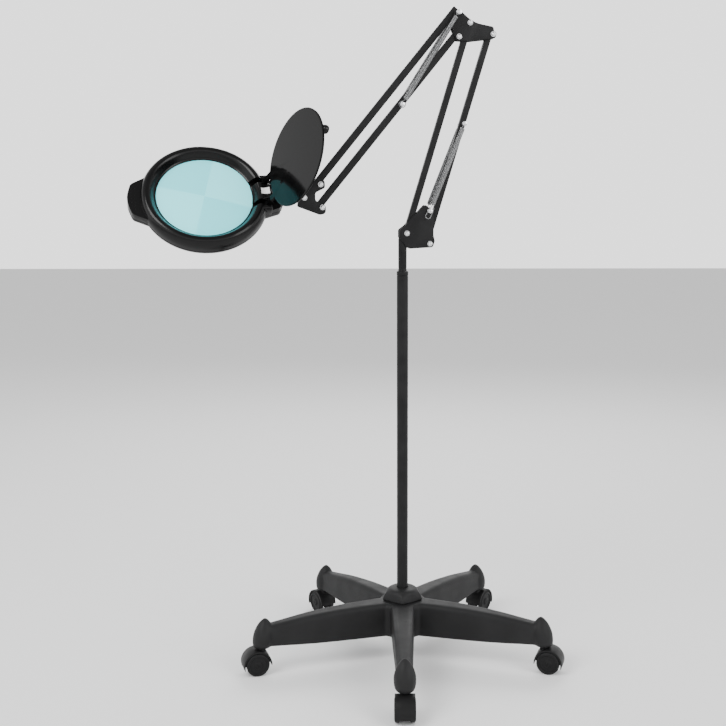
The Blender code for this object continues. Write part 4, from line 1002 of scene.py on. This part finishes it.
def build_cover():
    rim = COVER_RADIUS
    face = [(0.0010, COVER_LOW), (rim - 0.0040, COVER_LOW), (rim - 0.0012, COVER_LOW),
            (rim - 0.0003, COVER_LOW + 0.0004), (rim, COVER_LOW + 0.0012), (rim, COVER_HIGH - 0.0012),
            (rim - 0.0005, COVER_HIGH - 0.0004), (rim - 0.0016, COVER_HIGH), (rim - 0.0050, COVER_HIGH),
            (0.0010, COVER_HIGH)]
    disc = turned(face, RING_SEGMENTS)
    arms = []
    for side in (-1, 1):
        middle = side * HINGE_ARM_Y
        outline = circle((HINGE_X, HINGE_Z), 0.0047, 28, math.radians(-135.0), math.radians(270.0))
        outline += [(0.0800, COVER_HIGH + 0.0005), (0.0800, COVER_LOW)]
        arms.append(prism(outline, middle - HINGE_ARM_HALF, middle + HINGE_ARM_HALF))
    bore = rod(0.0023, -0.05, 0.05, 24, (HINGE_X, 0.0, HINGE_Z), "Y")
    lid = cut(union(disc, *arms), bore)
    piece("cover_disc", moved(lid, COVER_FRAME), "lid", "cover", ["lens_cover"], 30.0)
    knob = turned([(0.0070, COVER_HIGH - 0.0002), (0.0070, 0.0098), (0.0076, 0.0112), (0.0081, 0.0128),
                   (0.0082, 0.0165), (0.0079, 0.0180), (0.0070, 0.0191), (0.0050, 0.0195)], 48, False,
                  (-0.0842, 0.0, 0.0))
    piece("cover_finger_knob", moved(knob, COVER_FRAME), "gloss", "cover", (), 40.0)


def build_knob_and_switch():
    low, high, radius = -0.0370, -0.0203, 0.0180
    levels = [(low, 0.80), (low + 0.0006, 0.86), (low + 0.0018, 0.94), (low + 0.0035, 0.985),
              (low + 0.0060, 1.0), (high - 0.0040, 0.97), (high - 0.0012, 0.90), (high, 0.84)]
    segments = 96
    rings = []
    for height, share in levels:
        ring = []
        for index in range(segments):
            angle = TAU * index / segments
            reach = radius * share * (0.965 + 0.035 * math.cos(8.0 * angle))
            ring.append((KNOB_X + reach * math.cos(angle), reach * math.sin(angle), height))
        rings.append(ring)
    screw = rod(0.0030, high - 0.003, -0.0130, 24, (KNOB_X, 0.0, 0.0))
    piece("clamp_knob", moved(joined(loft(rings), screw), HEAD_FRAME), "dark", "knob", ["roll_knob"], 42.0)
    half = 0.0081
    outline = [(-half, -0.0008), (half, -0.0008)]
    outline += [(half - 2.0 * half * i / 16, 0.0027 + 0.0015 * abs(1.0 - 2.0 * i / 16) ** 1.6)
                for i in range(17)]
    key = bevelled(prism(outline, -0.0069, 0.0069), 0.0006, 2, 50.0)
    pressed = Matrix.Rotation(math.radians(-5.0), 4, "Y")
    place = HEAD_FRAME @ Matrix.Translation((SWITCH_X, 0.0, 0.0116)) @ pressed
    piece("switch_key", moved(key, place), "white", "switch", ["rocker_switch"], 35.0)


# ---- stage ---------------------------------------------------------------------
FOCAL = 55.74
SENSOR = 36.0
CAMERA_OFFSET = Vector((-0.0352, -2.1814, 0.9269))
CAMERA_YAW = math.radians(-0.8)
CAMERA_PITCH = math.radians(-8.55)
CAMERA_SHIFT = -0.051
HORIZON_LIGHT = 2.0
ZENITH_LIGHT = 0.6


def build_camera():
    data = bpy.data.cameras.new("camera")
    data.lens = FOCAL
    data.sensor_width = SENSOR
    data.shift_x = CAMERA_SHIFT
    data.clip_end = 50.0
    camera = bpy.data.objects.new("camera", data)
    bpy.context.scene.collection.objects.link(camera)
    camera.location = Vector((POST.x, POST.y, 0.0)) + CAMERA_OFFSET
    camera.rotation_euler = (math.radians(90.0) + CAMERA_PITCH, 0.0, CAMERA_YAW)
    bpy.context.scene.camera = camera


def add_area_light(name, spot, target, size, power):
    data = bpy.data.lights.new(name, "AREA")
    data.shape = "RECTANGLE"
    data.size, data.size_y = size
    data.energy = power
    light = bpy.data.objects.new(name, data)
    bpy.context.scene.collection.objects.link(light)
    light.location = spot
    light.rotation_euler = (Vector(target) - Vector(spot)).to_track_quat("-Z", "Y").to_euler()


def build_stage():
    floor = box((-FLOOR_HALF, -FLOOR_HALF, -FLOOR_DEPTH), (FLOOR_HALF, FLOOR_HALF, 0.0))
    floor.materials.append(new_material("pale_floor", (0.93, 0.93, 0.93), 0.9))
    item = bpy.data.objects.new("floor", floor)
    bpy.context.scene.collection.objects.link(item)
    world = bpy.data.worlds.new("studio")
    world.use_nodes = True
    nodes, links = world.node_tree.nodes, world.node_tree.links
    place = nodes.new("ShaderNodeTexCoord")
    split = nodes.new("ShaderNodeSeparateXYZ")
    fade = nodes.new("ShaderNodeMapRange")
    fade.inputs["From Min"].default_value = 0.20
    fade.inputs["From Max"].default_value = 0.65
    fade.inputs["To Min"].default_value = HORIZON_LIGHT
    fade.inputs["To Max"].default_value = ZENITH_LIGHT
    links.new(place.outputs["Generated"], split.inputs["Vector"])
    links.new(split.outputs["Z"], fade.inputs["Value"])
    links.new(fade.outputs["Result"], nodes["Background"].inputs["Strength"])
    nodes["Background"].inputs["Color"].default_value = (1.0, 1.0, 1.0, 1.0)
    bpy.context.scene.world = world
    add_area_light("key_softbox", (-1.9, -1.7, 2.7), (0.0, 0.0, 0.8), (1.6, 1.6), 80.0)
    add_area_light("fill_softbox", (2.2, -1.6, 1.9), (0.0, 0.0, 0.8), (1.4, 1.8), 40.0)
    add_area_light("back_softbox", (0.4, 2.4, 2.4), (0.0, 0.0, 0.7), (2.2, 1.2), 50.0)


def build_lamp():
    build_star()
    build_hub_cover()
    build_post()
    build_casters()
    build_bracket()
    build_lower_arm()
    build_elbow()
    build_upper_arm()
    build_head_bracket()
    build_upper_shell()
    build_lower_shell()
    build_lens_and_lamps()
    build_cover()
    build_knob_and_switch()


build_camera()
build_lamp()
build_stage()
